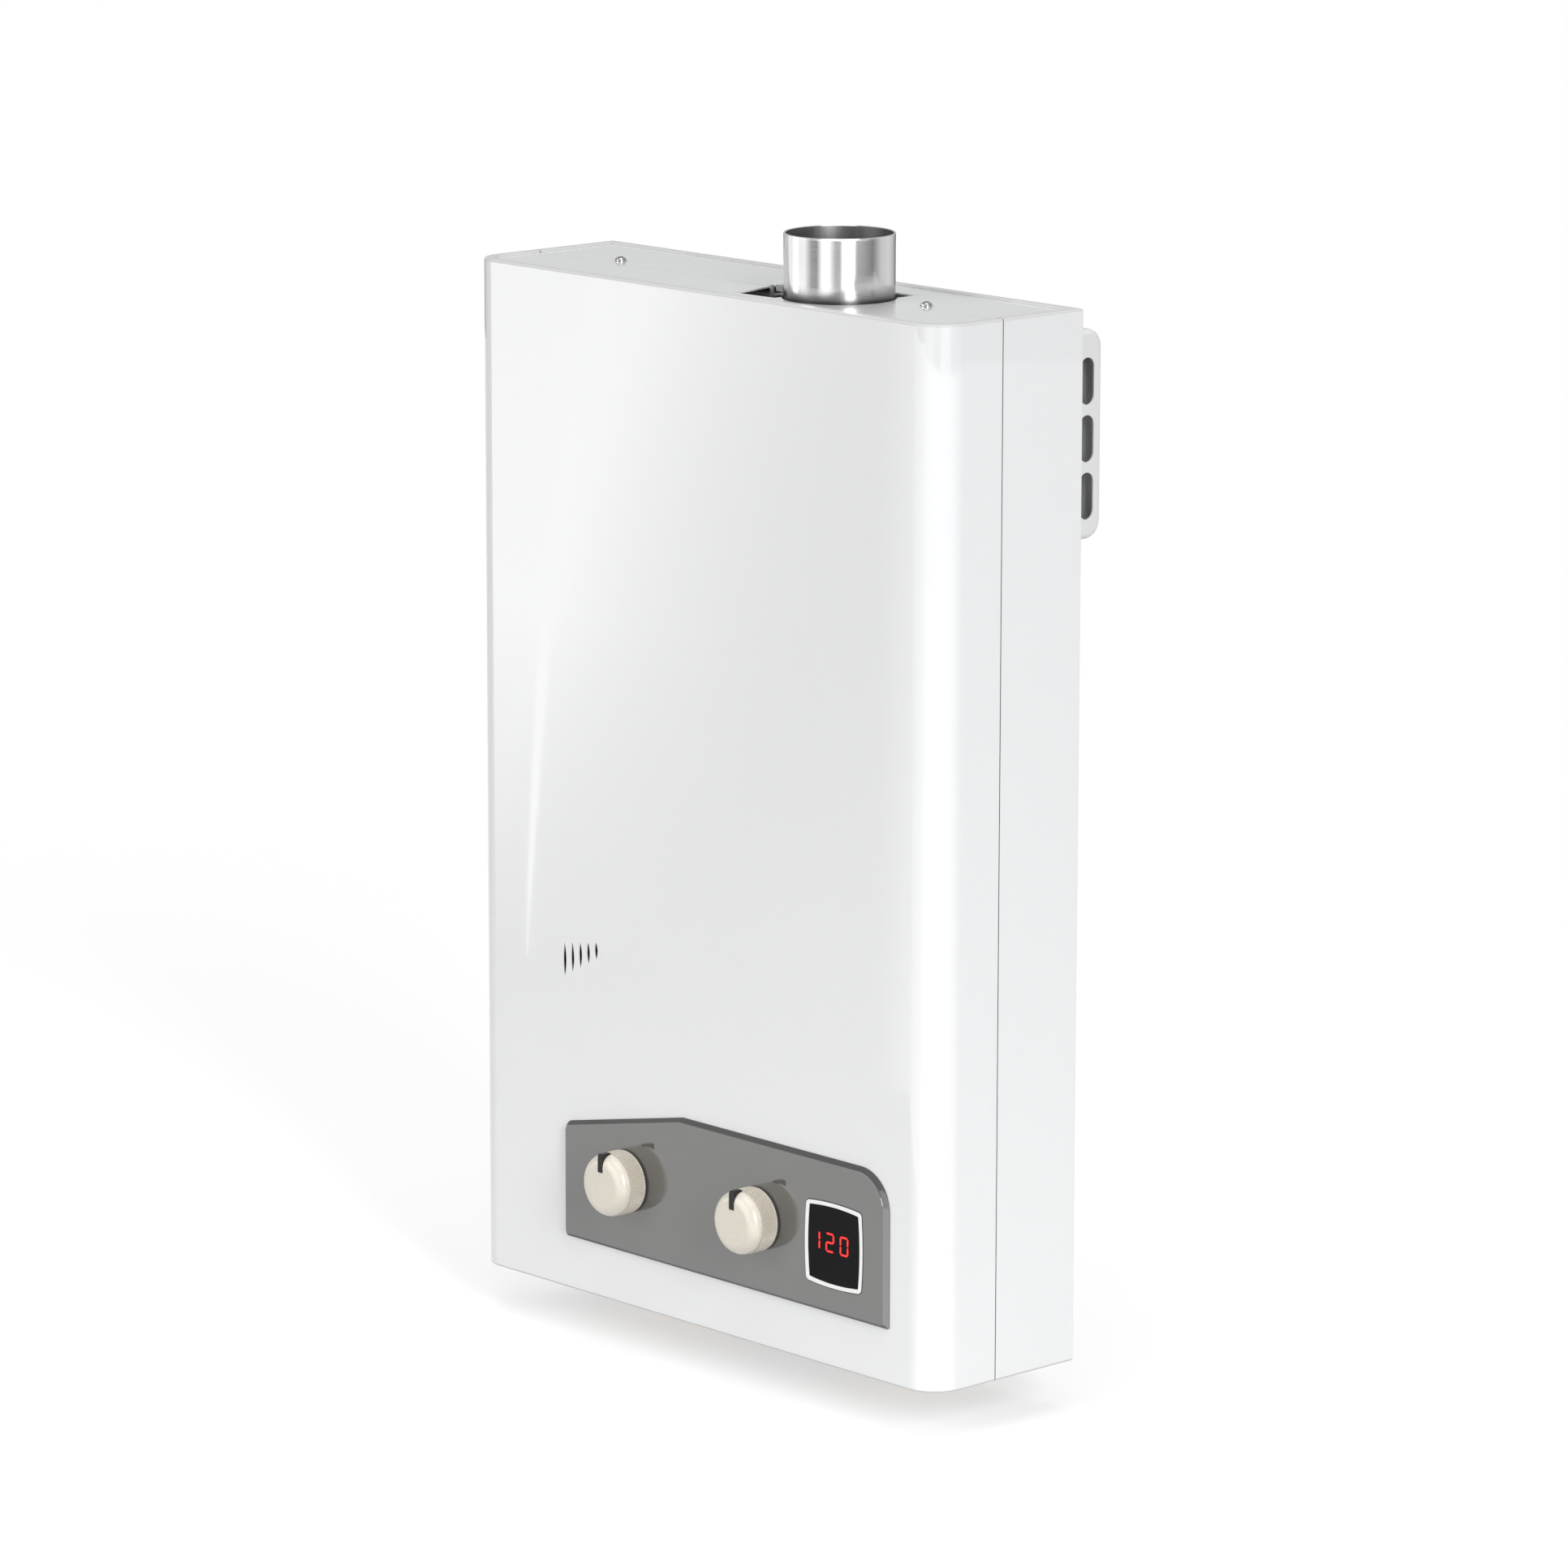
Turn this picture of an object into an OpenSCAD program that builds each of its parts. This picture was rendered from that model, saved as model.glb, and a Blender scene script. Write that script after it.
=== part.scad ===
// Wall-hung tankless water heater that burns propane, with a fan in its flue.
// Lengths are in millimetres. Inside the modules X runs from the casing's centre line to the right,
// Y runs back from the front face, and Z runs up from the casing's bottom edge. in_row_frame then
// moves each piece, so that the origin is on the wall, midway between the two hanging holes.

/* [Casing] */
// Width of the casing
case_w = 368.3; // [352:0.1:400]
// Height of the casing
case_h = 565; // [548:1:640]
// Depth of the casing, front face to back panel
case_d = 104; // [102:0.5:116]
// Depth of the front cover, from the front face to the side seam
cover_d = 45.2; // [40:0.1:45.5]
// Radius of the two front corners
corner_r = 19; // [10:0.5:24]
// Thickness of the casing's sheet steel
sheet = 1; // [0.8:0.05:1.2]
// Width of the rim turned in round the top and the bottom
rim_w = 5; // [3:0.25:7]
// Width of the gap between front cover and rear chassis
seam_gap = 0.6; // [0.4:0.1:1]
// Thickness of the top and bottom plates
plate_t = 0.8; // [0.6:0.05:1.2]

/* [Sight slits] */
// Number of lens-shaped slits over the burner
slit_count = 5; // [3:1:6]
// Width of a slit at its middle
slit_w = 2.7; // [1.5:0.1:3.5]
// Distance from the centre line to the leftmost slit
slit_x = 108.2; // [90:0.1:120]
// Distance between the slits
slit_pitch = 6.5; // [5:0.1:8]
// Height of the leftmost, longest slit
slit_h = 19.8; // [16:0.1:26]
// Height by which each slit is shorter than the one on its left
slit_step = 2.5; // [0:0.1:3]
// Height of the leftmost slit's top end over the casing's bottom edge
slit_top = 195.2; // [180:0.1:230]
// Height by which each slit's top end lies over the one on its left
slit_rise = 1.05; // [0:0.05:2]

/* [Control panel] */
// Distance from the centre line to the panel's left edge
panel_left = 106.7; // [95:0.1:120]
// Distance from the centre line to the panel's right edge
panel_right = 151; // [142:0.1:160]
// Height of the panel's bottom edge
panel_z = 30; // [20:0.5:36]
// Height of the panel at its level right part
panel_h = 84.5; // [80:0.5:95]
// Height of the panel at its left edge
panel_left_h = 66; // [62:0.5:75]
// Distance from the centre line to the bend in the top edge, to the left
panel_bend = 10.4; // [0:0.1:30]
// How far the panel stands out of the cover
panel_t = 3.2; // [2.5:0.1:5]
// Width of the bevel round the panel
panel_bevel = 2.3; // [1:0.1:3]
// Radius of the panel's upper right corner
panel_r = 22; // [12:0.5:26]

/* [Knobs] */
// Diameter of a knob
knob_d = 35.4; // [28:0.1:38]
// Depth of a knob
knob_l = 17.6; // [15:0.1:20]
// Running gap between a knob and the panel
knob_gap = 1.1; // [0.6:0.1:2]
// Distance from the centre line to the gas knob, to the left
gas_x = 54.2; // [50:0.1:60]
// Distance from the centre line to the water knob, to the right
water_x = 51.6; // [48:0.1:54]
// Height of both knobs' centres
knob_z = 71.4; // [66:0.1:76]
// Depth of the knurled band
knurl_l = 11.4; // [8:0.1:13]
// Width of the black pointer
pointer_w = 3.6; // [2:0.1:5]
// Length of the pointer, from the knob's edge towards its centre
pointer_l = 9.8; // [7:0.1:12]
// How far the pointer stands up from the knob
pointer_t = 0.5; // [0.2:0.1:1]
// Diameter of the knob spindles
spindle_d = 6; // [5:0.1:8]

/* [Display] */
// Distance from the panel's right edge to the display's centre
display_x = 39.5; // [36:0.1:45]
// Height of the display's centre
display_z = 67.9; // [64:0.1:70]
// Width of the display's frame at its corners
display_w = 42.2; // [38:0.1:46]
// Height of the display's frame at its corners
display_h = 43.9; // [38:0.1:48]
// How far the frame's top and bottom bow out
bow_z = 1.3; // [0.5:0.1:3]
// How far the frame's sides bow out
bow_x = 1.1; // [0.5:0.1:3]
// Width of the white frame
frame_w = 2.2; // [1.5:0.1:3.5]
// Radius of the white frame's corners
frame_round = 1.8; // [0.5:0.1:3]
// How far the white frame stands out of the panel
frame_t = 0.6; // [0.3:0.1:1.5]
// Depth of the black window behind the frame's face
window_drop = 0.5; // [0.3:0.1:1]
// Height of the digits
digit_h = 10.7; // [8:0.1:14]
// Width of a digit
digit_w = 6.6; // [5:0.1:7.5]
// Distance between the digits
digit_pitch = 10.9; // [9:0.1:12]
// Distance of the digits' middle from the display's centre, to the left
digit_left = 3; // [0:0.1:5]
// Distance of the digits' middle from the display's centre, upwards
digit_up = 1.3; // [0:0.1:4]

/* [Flue] */
// Outer diameter of the flue collar
flue_d = 59; // [50:0.5:60]
// Height of the collar over the casing
flue_rise = 33.4; // [25:0.1:60]
// Distance from the centre line to the flue, to the right
flue_x = 63; // [58:0.5:70]
// Distance from the front face to the flue's centre
flue_y = 44; // [43.5:0.1:45]
// Wall of the collar
flue_t = 1; // [0.8:0.1:1.5]
// Distance from the centre line to the opening's front left corner
opening_left = 13.9; // [10:0.1:20]
// Distance from the centre line to the opening's right edge
opening_right = 84.5; // [80:0.1:92]
// Distance from the front face to the opening's front edge
opening_front = 15.5; // [13:0.1:18]
// Distance from the centre line to the step in the opening's front edge, left of the collar
opening_step = 42; // [38:0.1:46]
// Distance from the front face to the opening's rear edge
opening_rear = 78.3; // [74:0.1:80]

/* [Wall hanger] */
// Depth of the hanger behind the casing
hanger_d = 22; // [18:0.5:30]
// Width of the hanger
hanger_w = 353; // [336:1:353]
// Height of the hanger
hanger_h = 111; // [100:1:120]
// Distance from the casing's top to the hanger's top
hanger_drop = 12.7; // [10:0.1:20]
// Radius of the hanger's bends
hanger_r = 10; // [6:0.5:12]
// Height of an air slot in the hanger's ends
air_slot_h = 24.8; // [20:0.1:26]
// Width of an air slot
air_slot_w = 10; // [6:0.1:12]
// Distance between the air slots
air_slot_pitch = 30.3; // [28:0.1:32]
// Distance between the two hanging holes
hole_span = 200; // [160:1:240]
// Diameter of a hanging hole, which lets the screw's head in
hole_d = 12; // [10:0.1:14]
// Width of the neck over a hanging hole
neck_w = 6.4; // [5:0.1:7]
// Length of the neck, from the hole's centre to the screw's seat
neck_l = 14; // [12:0.5:20]
// Diameter of the hole in the lower wall tab
tab_hole_d = 6.5; // [5:0.1:8]

/* [Connections] */
// Diameter of the threaded stubs for a half inch pipe
stub_d = 21.3; // [18:0.1:24]
// Length of the stubs below the casing
stub_l = 27; // [20:0.5:35]
// Distance from the back panel to the stubs' centres
stub_back = 24; // [22:0.5:28]
// Distance from the centre line to the cold water stub, to the right
cold_x = 92; // [90:0.5:100]
// Distance from the centre line to the hot water stub, to the left
hot_x = 98; // [96:0.5:110]
// Diameter of the water pipes
pipe_d = 12; // [10:0.5:12]
// Bore of the fittings
stub_bore_d = 13; // [8:0.5:15]
// Distance from the centre line to the cable gland, to the right
gland_x = 140; // [130:0.5:150]

/* [Burner and heat exchanger] */
// Width of the burner and the heat exchanger
core_w = 200; // [190:1:204]
// Gap between the pipe coil and the casing's front and back
coil_clear = 2.8; // [1.5:0.1:5]
// Distance from the centre line to the middle of the core, to the left
core_x = 10; // [6:0.5:12]
// Height of the burner tray's bottom
burner_z = 148; // [146:0.5:156]
// Height of the burner tray
burner_h = 57; // [52:0.5:64]
// Height of the flue hood
hood_h = 46.5; // [40:0.5:60]
// Height of the fin block
fin_h = 53; // [44:1:60]
// Number of fins
fin_count = 30; // [20:1:34]
// Number of burner bars
bar_count = 9; // [7:1:9]
// Width of a burner bar
bar_w = 10; // [8:0.5:12]
// Number of turns of pipe round the chamber
coil_turns = 3; // [2:1:3]
// Height of the plain wall below the coil
coil_rise = 17; // [14:0.5:24]

/* [Fan] */
// Outer diameter of the fan wheel
wheel_d = 86; // [76:0.5:90]
// Number of blades
blade_count = 30; // [20:1:36]
// Outer diameter of the fan housing's round part
scroll_d = 105; // [101:0.5:108]
// Diameter of the motor
motor_d = 56; // [48:0.5:60]
// Length of the motor
motor_l = 40; // [38:0.5:42]
// Diameter of the motor shaft
shaft_d = 6; // [5:0.1:8]

/* [Fits] */
// Radial clearance of a shaft that turns or slides in its bore
run_fit = 0.05; // [0.02:0.01:0.1]
// Clearance between fixed pieces that lie inside each other
lay_fit = 0.2; // [0.1:0.05:0.3]
// Clearance of a screw or stub in its hole
hole_fit = 0.4; // [0.2:0.05:0.6]

/* [Hidden] */
$fn = 64;
over = 1;
case_r = case_w / 2;
wall_y = case_d + hanger_d;
hanger_top = case_h - hanger_drop;
hang_z = hanger_top - hanger_h / 2;
plate_top = case_h - sheet;
plate_low = plate_top - plate_t;
screw_x = [-121.3, 118.4];
screw_y = cover_d + 8.8;
screw_d = 4;
tongue_w = 18;
tongue_l = 16;
panel_face = -panel_t;
display_mid = panel_right - display_x;
knob_rear = panel_face - knob_gap;
knob_front = knob_rear - knob_l;
knob_round = knob_l - knurl_l;
stub_y = case_d - stub_back;
deck = sheet + plate_t;
boss_h = 6;
valve_z = 44;
valve_h = 52;
valve_w = 52;
valve_y = 46;
valve_d = case_d - valve_y - 16;
rod_y = valve_y + 20;
rod_z = knob_z - 5.4;
rod_d = 5;
rod_travel = 4;
water_w = 30;
chamber_l = 11;
chamber_d = 50;
rubber_t = 1.5;
plug_y = valve_y + 2;
plug_l = 26;
core_left = -core_x - core_w / 2;
core_right = -core_x + core_w / 2;
core_y = sheet + coil_clear + pipe_d + lay_fit;
core_back = case_d - core_y;
core_d = core_back - core_y;
chamber_z = burner_z + burner_h;
skin = 1;
coil_gap = pipe_d / 2 + lay_fit;
gasket_t = 1;
collar_z = case_h - 13;
scroll_top = collar_z - gasket_t;
scroll_t = 1.2;
scroll_y = flue_y - 28;
scroll_l = 56;
scroll_back = scroll_y + scroll_l;
fan_z = scroll_top - 6.5 - scroll_d / 2;
fan_x = flue_x + flue_d / 2 - scroll_d / 2;
hood_top = fan_z - scroll_d / 2 - 8;
hood_z = hood_top - hood_h;
fin_z = hood_z - fin_h;
chamber_h = fin_z - chamber_z;
coil_pitch = (chamber_h - coil_rise - 14) / coil_turns;
box_w = 38;
box_h = 110;
box_z = 230;
box_depth = 40;
switch_d = 40;
switch_x = case_r - 34;
bracket_w = 20;
bracket_h = 24;
nut_w = 30;
flange_m = 6;

// Moves a piece from the heater's own measures to the row frame
module in_row_frame() translate([0, -wall_y, -hang_z]) children();

// Box between its lowest and its highest corner
module box(low, high) translate(low) cube(high - low);

// Round bars along X, Y and Z
module round_x(y, z, d, x0, x1) translate([x0, y, z]) rotate([0, 90, 0]) cylinder(d = d, h = x1 - x0);
module round_y(x, z, d, y0, y1) translate([x, y0, z]) rotate([-90, 0, 0]) cylinder(d = d, h = y1 - y0);
module round_z(x, y, d, z0, z1) translate([x, y, z0]) cylinder(d = d, h = z1 - z0);

// Flat shapes drawn in X and Z, made thick from y0 back to y1
module plate_y(y0, y1) translate([0, y1, 0]) rotate([90, 0, 0]) linear_extrude(y1 - y0) children();

// A pipe's centre line: corners p, each rounded by an arc that starts d before it
function unit(v) = v / norm(v);
function rounded(p, d, n) = [
  p[0],
  for (i = [1 : len(p) - 2])
    let (
      a = unit(p[i - 1] - p[i]),
      b = unit(p[i + 1] - p[i]),
      half = acos(max(-1, min(1, a * b))) / 2,
      r = d * tan(half),
      c = p[i] + unit(a + b) * d / cos(half)
    )
    for (k = [0 : n])
      let (t = (180 - 2 * half) * k / n)
      c + cos(t) * (p[i] + a * d - c) - sin(t) * r * a,
  p[len(p) - 1]
];

// Directions across a centre line, carried along it without a twist
function heading(p, i) =
  i == 0 ? unit(p[1] - p[0])
  : i == len(p) - 1 ? unit(p[i] - p[i - 1])
  : unit(unit(p[i] - p[i - 1]) + unit(p[i + 1] - p[i]));
function across(p, i, last) =
  i == len(p) ? []
  : let (t = heading(p, i), n = unit(last - (last * t) * t)) concat([n], across(p, i + 1, n));
function rings(p, d, sides, first) = [
  for (i = [0 : len(p) - 1])
    let (t = heading(p, i), n = first[i], m = cross(t, n))
    for (k = [0 : sides - 1])
      p[i] + d / 2 * (cos(360 * k / sides) * n + sin(360 * k / sides) * m)
];

// Hollow pipe of outer diameter d along the points p; wall 0 makes it solid
module swept(p, d, wall, sides = 10) {
  count = len(p);
  start = abs(heading(p, 0).z) > 0.9 ? [1, 0, 0] : [0, 0, 1];
  first = across(p, 0, start);
  outer = rings(p, d, sides, first);
  inner = rings(p, d - 2 * wall, sides, first);
  base = len(outer);
  end = (count - 1) * sides;
  skin_faces = [
    for (i = [0 : count - 2]) for (k = [0 : sides - 1])
      let (a = i * sides + k, b = i * sides + (k + 1) % sides)
      each [[a, b + sides, b], [a, a + sides, b + sides]]
  ];
  bore_faces = [for (f = skin_faces) [f[2] + base, f[1] + base, f[0] + base]];
  rim_faces = [
    for (k = [0 : sides - 1])
      let (a = k, b = (k + 1) % sides, c = end + k, e = end + (k + 1) % sides)
      each [[a, b, a + base], [b, b + base, a + base], [e, c, e + base], [c, c + base, e + base]]
  ];
  cap_faces = [
    for (k = [1 : sides - 2])
      each [[0, k, k + 1], [end, end + k + 1, end + k]]
  ];
  if (wall > 0)
    polyhedron(points = concat(outer, inner), faces = concat(skin_faces, bore_faces, rim_faces));
  else
    polyhedron(points = outer, faces = concat(skin_faces, cap_faces));
}

// Casing seen from above, with its sides moved in by m
module cover_plan(m) {
  translate([-case_r + m, corner_r])
    square([case_w - 2 * m, case_d]);
  translate([-case_r + corner_r, m])
    square([case_w - 2 * corner_r, case_d]);
  for (s = [-1, 1])
    translate([s * (case_r - corner_r), corner_r]) circle(corner_r - m);
}

// Everything in front of the side seam, or behind it
module ahead_of(y) box([-case_w, -over, -over], [case_w, y, case_h + over]);

// Slits cut in the front, each one the overlap of two round discs
function slit_len(i) = max(slit_h - i * slit_step, slit_w + 1);
module slits() for (i = [0 : slit_count - 1]) {
  h = slit_len(i);
  r = (h * h + slit_w * slit_w) / slit_w / 4;
  translate([-slit_x + i * slit_pitch, 0, slit_top + i * slit_rise - h / 2])
    plate_y(-over, sheet + over)
      intersection() {
        translate([r - slit_w / 2, 0]) circle(r);
        translate([slit_w / 2 - r, 0]) circle(r);
      }
}

module_x = display_w / 2 - frame_w - 1.5;
module_z = display_h / 2 - frame_w - 1.5;
peg_x = [-panel_left + 9, panel_right - 9];
peg_z = [panel_z + 8, panel_z + 44];
peg_d = 5;

module front_cover() color("white") in_row_frame() difference() {
  intersection() {
    linear_extrude(case_h) cover_plan(0);
    ahead_of(cover_d);
  }
  translate([0, 0, sheet]) linear_extrude(case_h - 2 * sheet) cover_plan(sheet);
  translate([0, 0, -over]) linear_extrude(case_h + 2 * over) cover_plan(sheet + rim_w);
  slits();
  for (x = [-gas_x, water_x])
    round_y(x, knob_z, spindle_d + 6, -over, sheet + over);
  box([display_mid - module_x - hole_fit, -over, display_z - module_z - hole_fit],
    [display_mid + module_x + hole_fit, sheet + over, display_z + module_z + hole_fit]);
  for (x = peg_x) for (z = peg_z)
    round_y(x, z, peg_d + 2 * hole_fit, -over, sheet + over);
}

// Opening round the flue: its straight edges, the circle that clears the collar, and a relief slit
module flue_opening(left_front, left_rear, rear) {
  linear_extrude(2 * plate_t + 2 * over, center = true) {
    polygon([
      [left_front, opening_front], [opening_step, opening_front + 1.7], [opening_step, flue_y],
      [opening_right, flue_y], [opening_right, rear], [left_rear, rear]
    ]);
    translate([flue_x, flue_y]) circle(flue_d / 2 + 1);
    translate([opening_right - 1, rear - over]) square([1, 14 + over]);
  }
}

module screw_holes(z)
  for (x = screw_x) round_z(x, screw_y, screw_d + 2 * hole_fit, z - 20, z + 20);

// Flat plate under the rims, in front of the seam, with tongues that reach under its neighbour
module cover_plate(z, step) {
  translate([0, 0, z]) linear_extrude(plate_t) intersection() {
    cover_plan(sheet + lay_fit);
    translate([-case_w, -over]) square([2 * case_w, cover_d + over]);
  }
  for (x = screw_x) {
    box([x - tongue_w / 2, cover_d - 8, z + step * plate_t],
      [x + tongue_w / 2, cover_d + seam_gap + tongue_l, z + step * plate_t + plate_t]);
    box([x - tongue_w / 2, cover_d - 8, z + step * plate_t / 2],
      [x + tongue_w / 2, cover_d, z + step * plate_t / 2 + plate_t]);
  }
}

module cover_top_plate() color("gainsboro") in_row_frame() difference() {
  cover_plate(plate_low, -1);
  translate([0, 0, plate_low]) intersection() {
    flue_opening(opening_left, opening_left - 6.5, cover_d + over);
    box([-case_w, 0, -over], [case_w, cover_d + over, 2 * over]);
  }
  screw_holes(plate_low);
}

module cover_bottom_plate() color("gainsboro") in_row_frame() difference() {
  cover_plate(sheet, 1);
  screw_holes(sheet);
}

module chassis_plate(z)
  box([-case_r + sheet + lay_fit, cover_d + seam_gap, z],
    [case_r - sheet - lay_fit, case_d - sheet - lay_fit, z + plate_t]);

module chassis_top_plate() color("gainsboro") in_row_frame() difference() {
  chassis_plate(plate_low);
  translate([0, 0, plate_low]) flue_opening(opening_left - 5.2, opening_left - 8.2, opening_rear);
  screw_holes(plate_low);
}

module chassis_bottom_plate() color("gainsboro") in_row_frame() difference() {
  chassis_plate(sheet);
  for (x = [-hot_x, -gas_x, cold_x])
    round_z(x, stub_y, stub_d + 2 * hole_fit, -over, 10);
  round_z(gland_x, stub_y, gland_d + 2 * hole_fit, -over, 10);
  screw_holes(sheet);
}

// Slot with round ends, standing upright in a wall that lies along X and Z
module upright_slot(x, z, w, h, y0, y1) {
  round_y(x, z - h / 2 + w / 2, w, y0, y1);
  round_y(x, z + h / 2 - w / 2, w, y0, y1);
  box([x - w / 2, y0, z - h / 2 + w / 2], [x + w / 2, y1, z + h / 2 - w / 2]);
}

seam_y = cover_d + seam_gap;
gland_d = 18;

module rear_chassis() color("white") in_row_frame() difference() {
  union() {
    difference() {
      box([-case_r, seam_y, 0], [case_r, case_d, case_h]);
      box([-case_r + sheet, seam_y - over, sheet], [case_r - sheet, case_d - sheet, case_h - sheet]);
      box([-case_r + sheet + rim_w, seam_y - over, -over],
        [case_r - sheet - rim_w, case_d - sheet - rim_w, case_h + over]);
    }
    for (s = [-1, 1]) scale([s, 1, 1]) {
      box([case_r - 2 * sheet - lay_fit, cover_d - 8, 6], [case_r - sheet - lay_fit, seam_y + 3, case_h - 6]);
      box([case_r - 2 * sheet - lay_fit, seam_y, 6], [case_r - sheet / 2, seam_y + 3, case_h - 6]);
    }
  }
  round_y(fan_x, fan_z, motor_d + 6, case_d - 3, case_d + over);
  for (i = [0 : 5]) upright_slot(-150 + 15 * i, hang_z, 6, 60, case_d - 3, case_d + over);
}

// Hanger seen from its end, with its outer faces moved in by m
module hanger_plan(m) {
  r = hanger_r - m;
  y = wall_y - hanger_r;
  translate([case_d - (m > 0 ? over : 0), hanger_top - hanger_h + m])
    square([y - case_d + (m > 0 ? over : 0), hanger_h - 2 * m]);
  translate([y - over, hanger_top - hanger_h + hanger_r])
    square([hanger_r + over - m, hanger_h - 2 * hanger_r]);
  for (z = [hanger_top - hanger_r, hanger_top - hanger_h + hanger_r])
    translate([y, z]) circle(r);
}

module rear_hanger() color("white") in_row_frame() {
  half = hanger_w / 2;
  difference() {
    union() {
      translate([-half, 0, 0]) rotate([90, 0, 90]) linear_extrude(hanger_w) hanger_plan(0);
      for (z = [hanger_top - 1, hanger_top - hanger_h - 8])
        box([-half + 12, case_d, z], [half - 12, case_d + sheet, z + 9]);
    }
    translate([-half + sheet, 0, 0]) rotate([90, 0, 90])
      linear_extrude(hanger_w - 2 * sheet) hanger_plan(sheet);
    for (i = [-1 : 1]) {
      z = hang_z - 2 + i * air_slot_pitch;
      y = case_d + hanger_d / 2 - 0.35;
      h = air_slot_h - air_slot_w;
      for (k = [-1, 1]) round_x(y, z + k * h / 2, air_slot_w, -half - over, half + over);
      box([-half - over, y - air_slot_w / 2, z - h / 2], [half + over, y + air_slot_w / 2, z + h / 2]);
    }
    for (s = [-1, 1]) {
      x = s * hole_span / 2;
      round_y(x, hang_z, hole_d, wall_y - 3, wall_y + over);
      round_y(x, hang_z + neck_l - neck_w / 2, neck_w, wall_y - 3, wall_y + over);
      box([x - neck_w / 2, wall_y - 3, hang_z], [x + neck_w / 2, wall_y + over, hang_z + neck_l - neck_w / 2]);
    }
  }
}

module lower_wall_tab() color("white") in_row_frame() difference() {
  t = 1.5;
  union() {
    box([-14, case_d, 4], [14, case_d + t, 30]);
    box([-14, case_d, 4], [14, wall_y, 4 + t]);
    box([-14, wall_y - t, -18], [14, wall_y, 4 + t]);
  }
  round_y(0, -10, tab_hole_d, case_d, wall_y + over);
  for (x = [-8, 8]) round_y(x, 18, 4, case_d - over, case_d + 5);
}

// Dome head against the plate, shank through it, and a cross cut in the head
module casing_screw() difference() {
  union() {
    translate([0, 0, -8]) cylinder(d = screw_d, h = 8.1);
    intersection() {
      cylinder(r = 3.2, h = 2.6);
      translate([0, 0, 2.6 - 3.3]) sphere(3.3);
    }
  }
  for (a = [0, 90]) rotate(a) box([-1.5, -0.4, 1.5], [1.5, 0.4, 3]);
}

module casing_screws() color("silver") in_row_frame() for (x = screw_x) {
  translate([x, screw_y, plate_top]) casing_screw();
  translate([x, screw_y, sheet]) scale([1, 1, -1]) casing_screw();
}

// Outline of the panel, moved in by m
function panel_points(m) = concat(
  [
    [-panel_left + m, panel_z + m],
    [-panel_left + m, panel_z + panel_left_h - 5.5],
    [-panel_left + 7 + 0.4 * m, panel_z + panel_left_h - m],
    [-panel_bend, panel_z + panel_h - m]
  ],
  [
    for (i = [0 : 10])
      let (a = 90 - 9 * i)
      [panel_right - panel_r, panel_z + panel_h - panel_r] + (panel_r - m) * [cos(a), sin(a)]
  ],
  [[panel_right - m, panel_z + m]]
);

// Display outline: a box whose four sides bow out and whose corners are round, moved in by m
function bowed(m) = [
  for (k = [0 : 3]) for (i = [0 : 12])
    let (
      lying = k % 2 == 0,
      a = (lying ? display_w : display_h) / 2 - m,
      b = (lying ? display_h : display_w) / 2 - m,
      c = max(frame_round - m, 0.4),
      t = (1 - c / a) * (i / 5 - 1),
      u = i < 11 ? a * t : a - (i == 11 ? 0.5 : 0.134) * c,
      v = i < 11 ? b + (lying ? bow_z : bow_x) * (1 - t * t) : b - (i == 11 ? 0.134 : 0.5) * c
    )
    k == 0 ? [u, v] : k == 1 ? [v, -u] : k == 2 ? [-u, -v] : [-v, u]
];
module display_block(m, y0, y1)
  translate([display_mid, 0, display_z]) plate_y(y0, y1) polygon(bowed(m));

frame_face = panel_face - frame_t;
window_face = frame_face + window_drop;

module control_panel() color("gray") in_row_frame() {
  difference() {
    hull() {
      plate_y(panel_face + panel_bevel * 0.9, 0) polygon(panel_points(0));
      plate_y(panel_face, -0.1) polygon(panel_points(panel_bevel));
    }
    for (x = [-gas_x, water_x])
      round_y(x, knob_z, spindle_d + 4, panel_face - over, over);
    display_block(0.8 - lay_fit, panel_face - over, over);
  }
  for (x = peg_x) for (z = peg_z) round_y(x, z, peg_d, -0.5, 5);
}

module display_frame() color("white") in_row_frame() difference() {
  union() {
    display_block(0, frame_face, panel_face);
    display_block(0.8, panel_face - 0.1, 0);
  }
  display_block(frame_w, frame_face - over, over);
}

module display_window() color("black") in_row_frame()
  display_block(frame_w + lay_fit, window_face, window_face + 1.6);

// Segments of the three digits: x and z in half digits, then width and height
function bars(n) =
  n == 0 ? [0, 1, 2, 3, 4, 5]
  : n == 1 ? [1, 2]
  : [0, 1, 3, 4, 6];
module segment(k) {
  w = digit_w / 2 - 0.55;
  h = digit_h / 2 - 0.55;
  at = [[0, h], [w, h / 2], [w, -h / 2], [0, -h], [-w, -h / 2], [-w, h / 2], [0, 0]][k];
  size = k == 0 || k == 3 || k == 6 ? [2 * w - 1, 1.1] : [1.1, h - 0.4];
  translate(at) square(size, center = true);
}
module display_digits() color("red") in_row_frame()
  for (i = [0 : 2])
    translate([display_mid - digit_left + (i - 1) * digit_pitch, 0, display_z + digit_up])
      plate_y(window_face - 0.2, window_face)
        for (k = bars([1, 2, 0][i])) segment(k);

module display_module() color("darkgreen") in_row_frame() {
  w = module_x;
  h = module_z;
  box([display_mid - w, window_face + 1.6, display_z - h], [display_mid + w, sheet + 5, display_z + h]);
  box([display_mid - w - 4, sheet, display_z - h - 4], [display_mid + w + 4, sheet + 1.6, display_z + h + 4]);
  box([display_mid - 8, sheet, display_z - 12], [display_mid + 8, sheet + 9, display_z - 4]);
}

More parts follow.
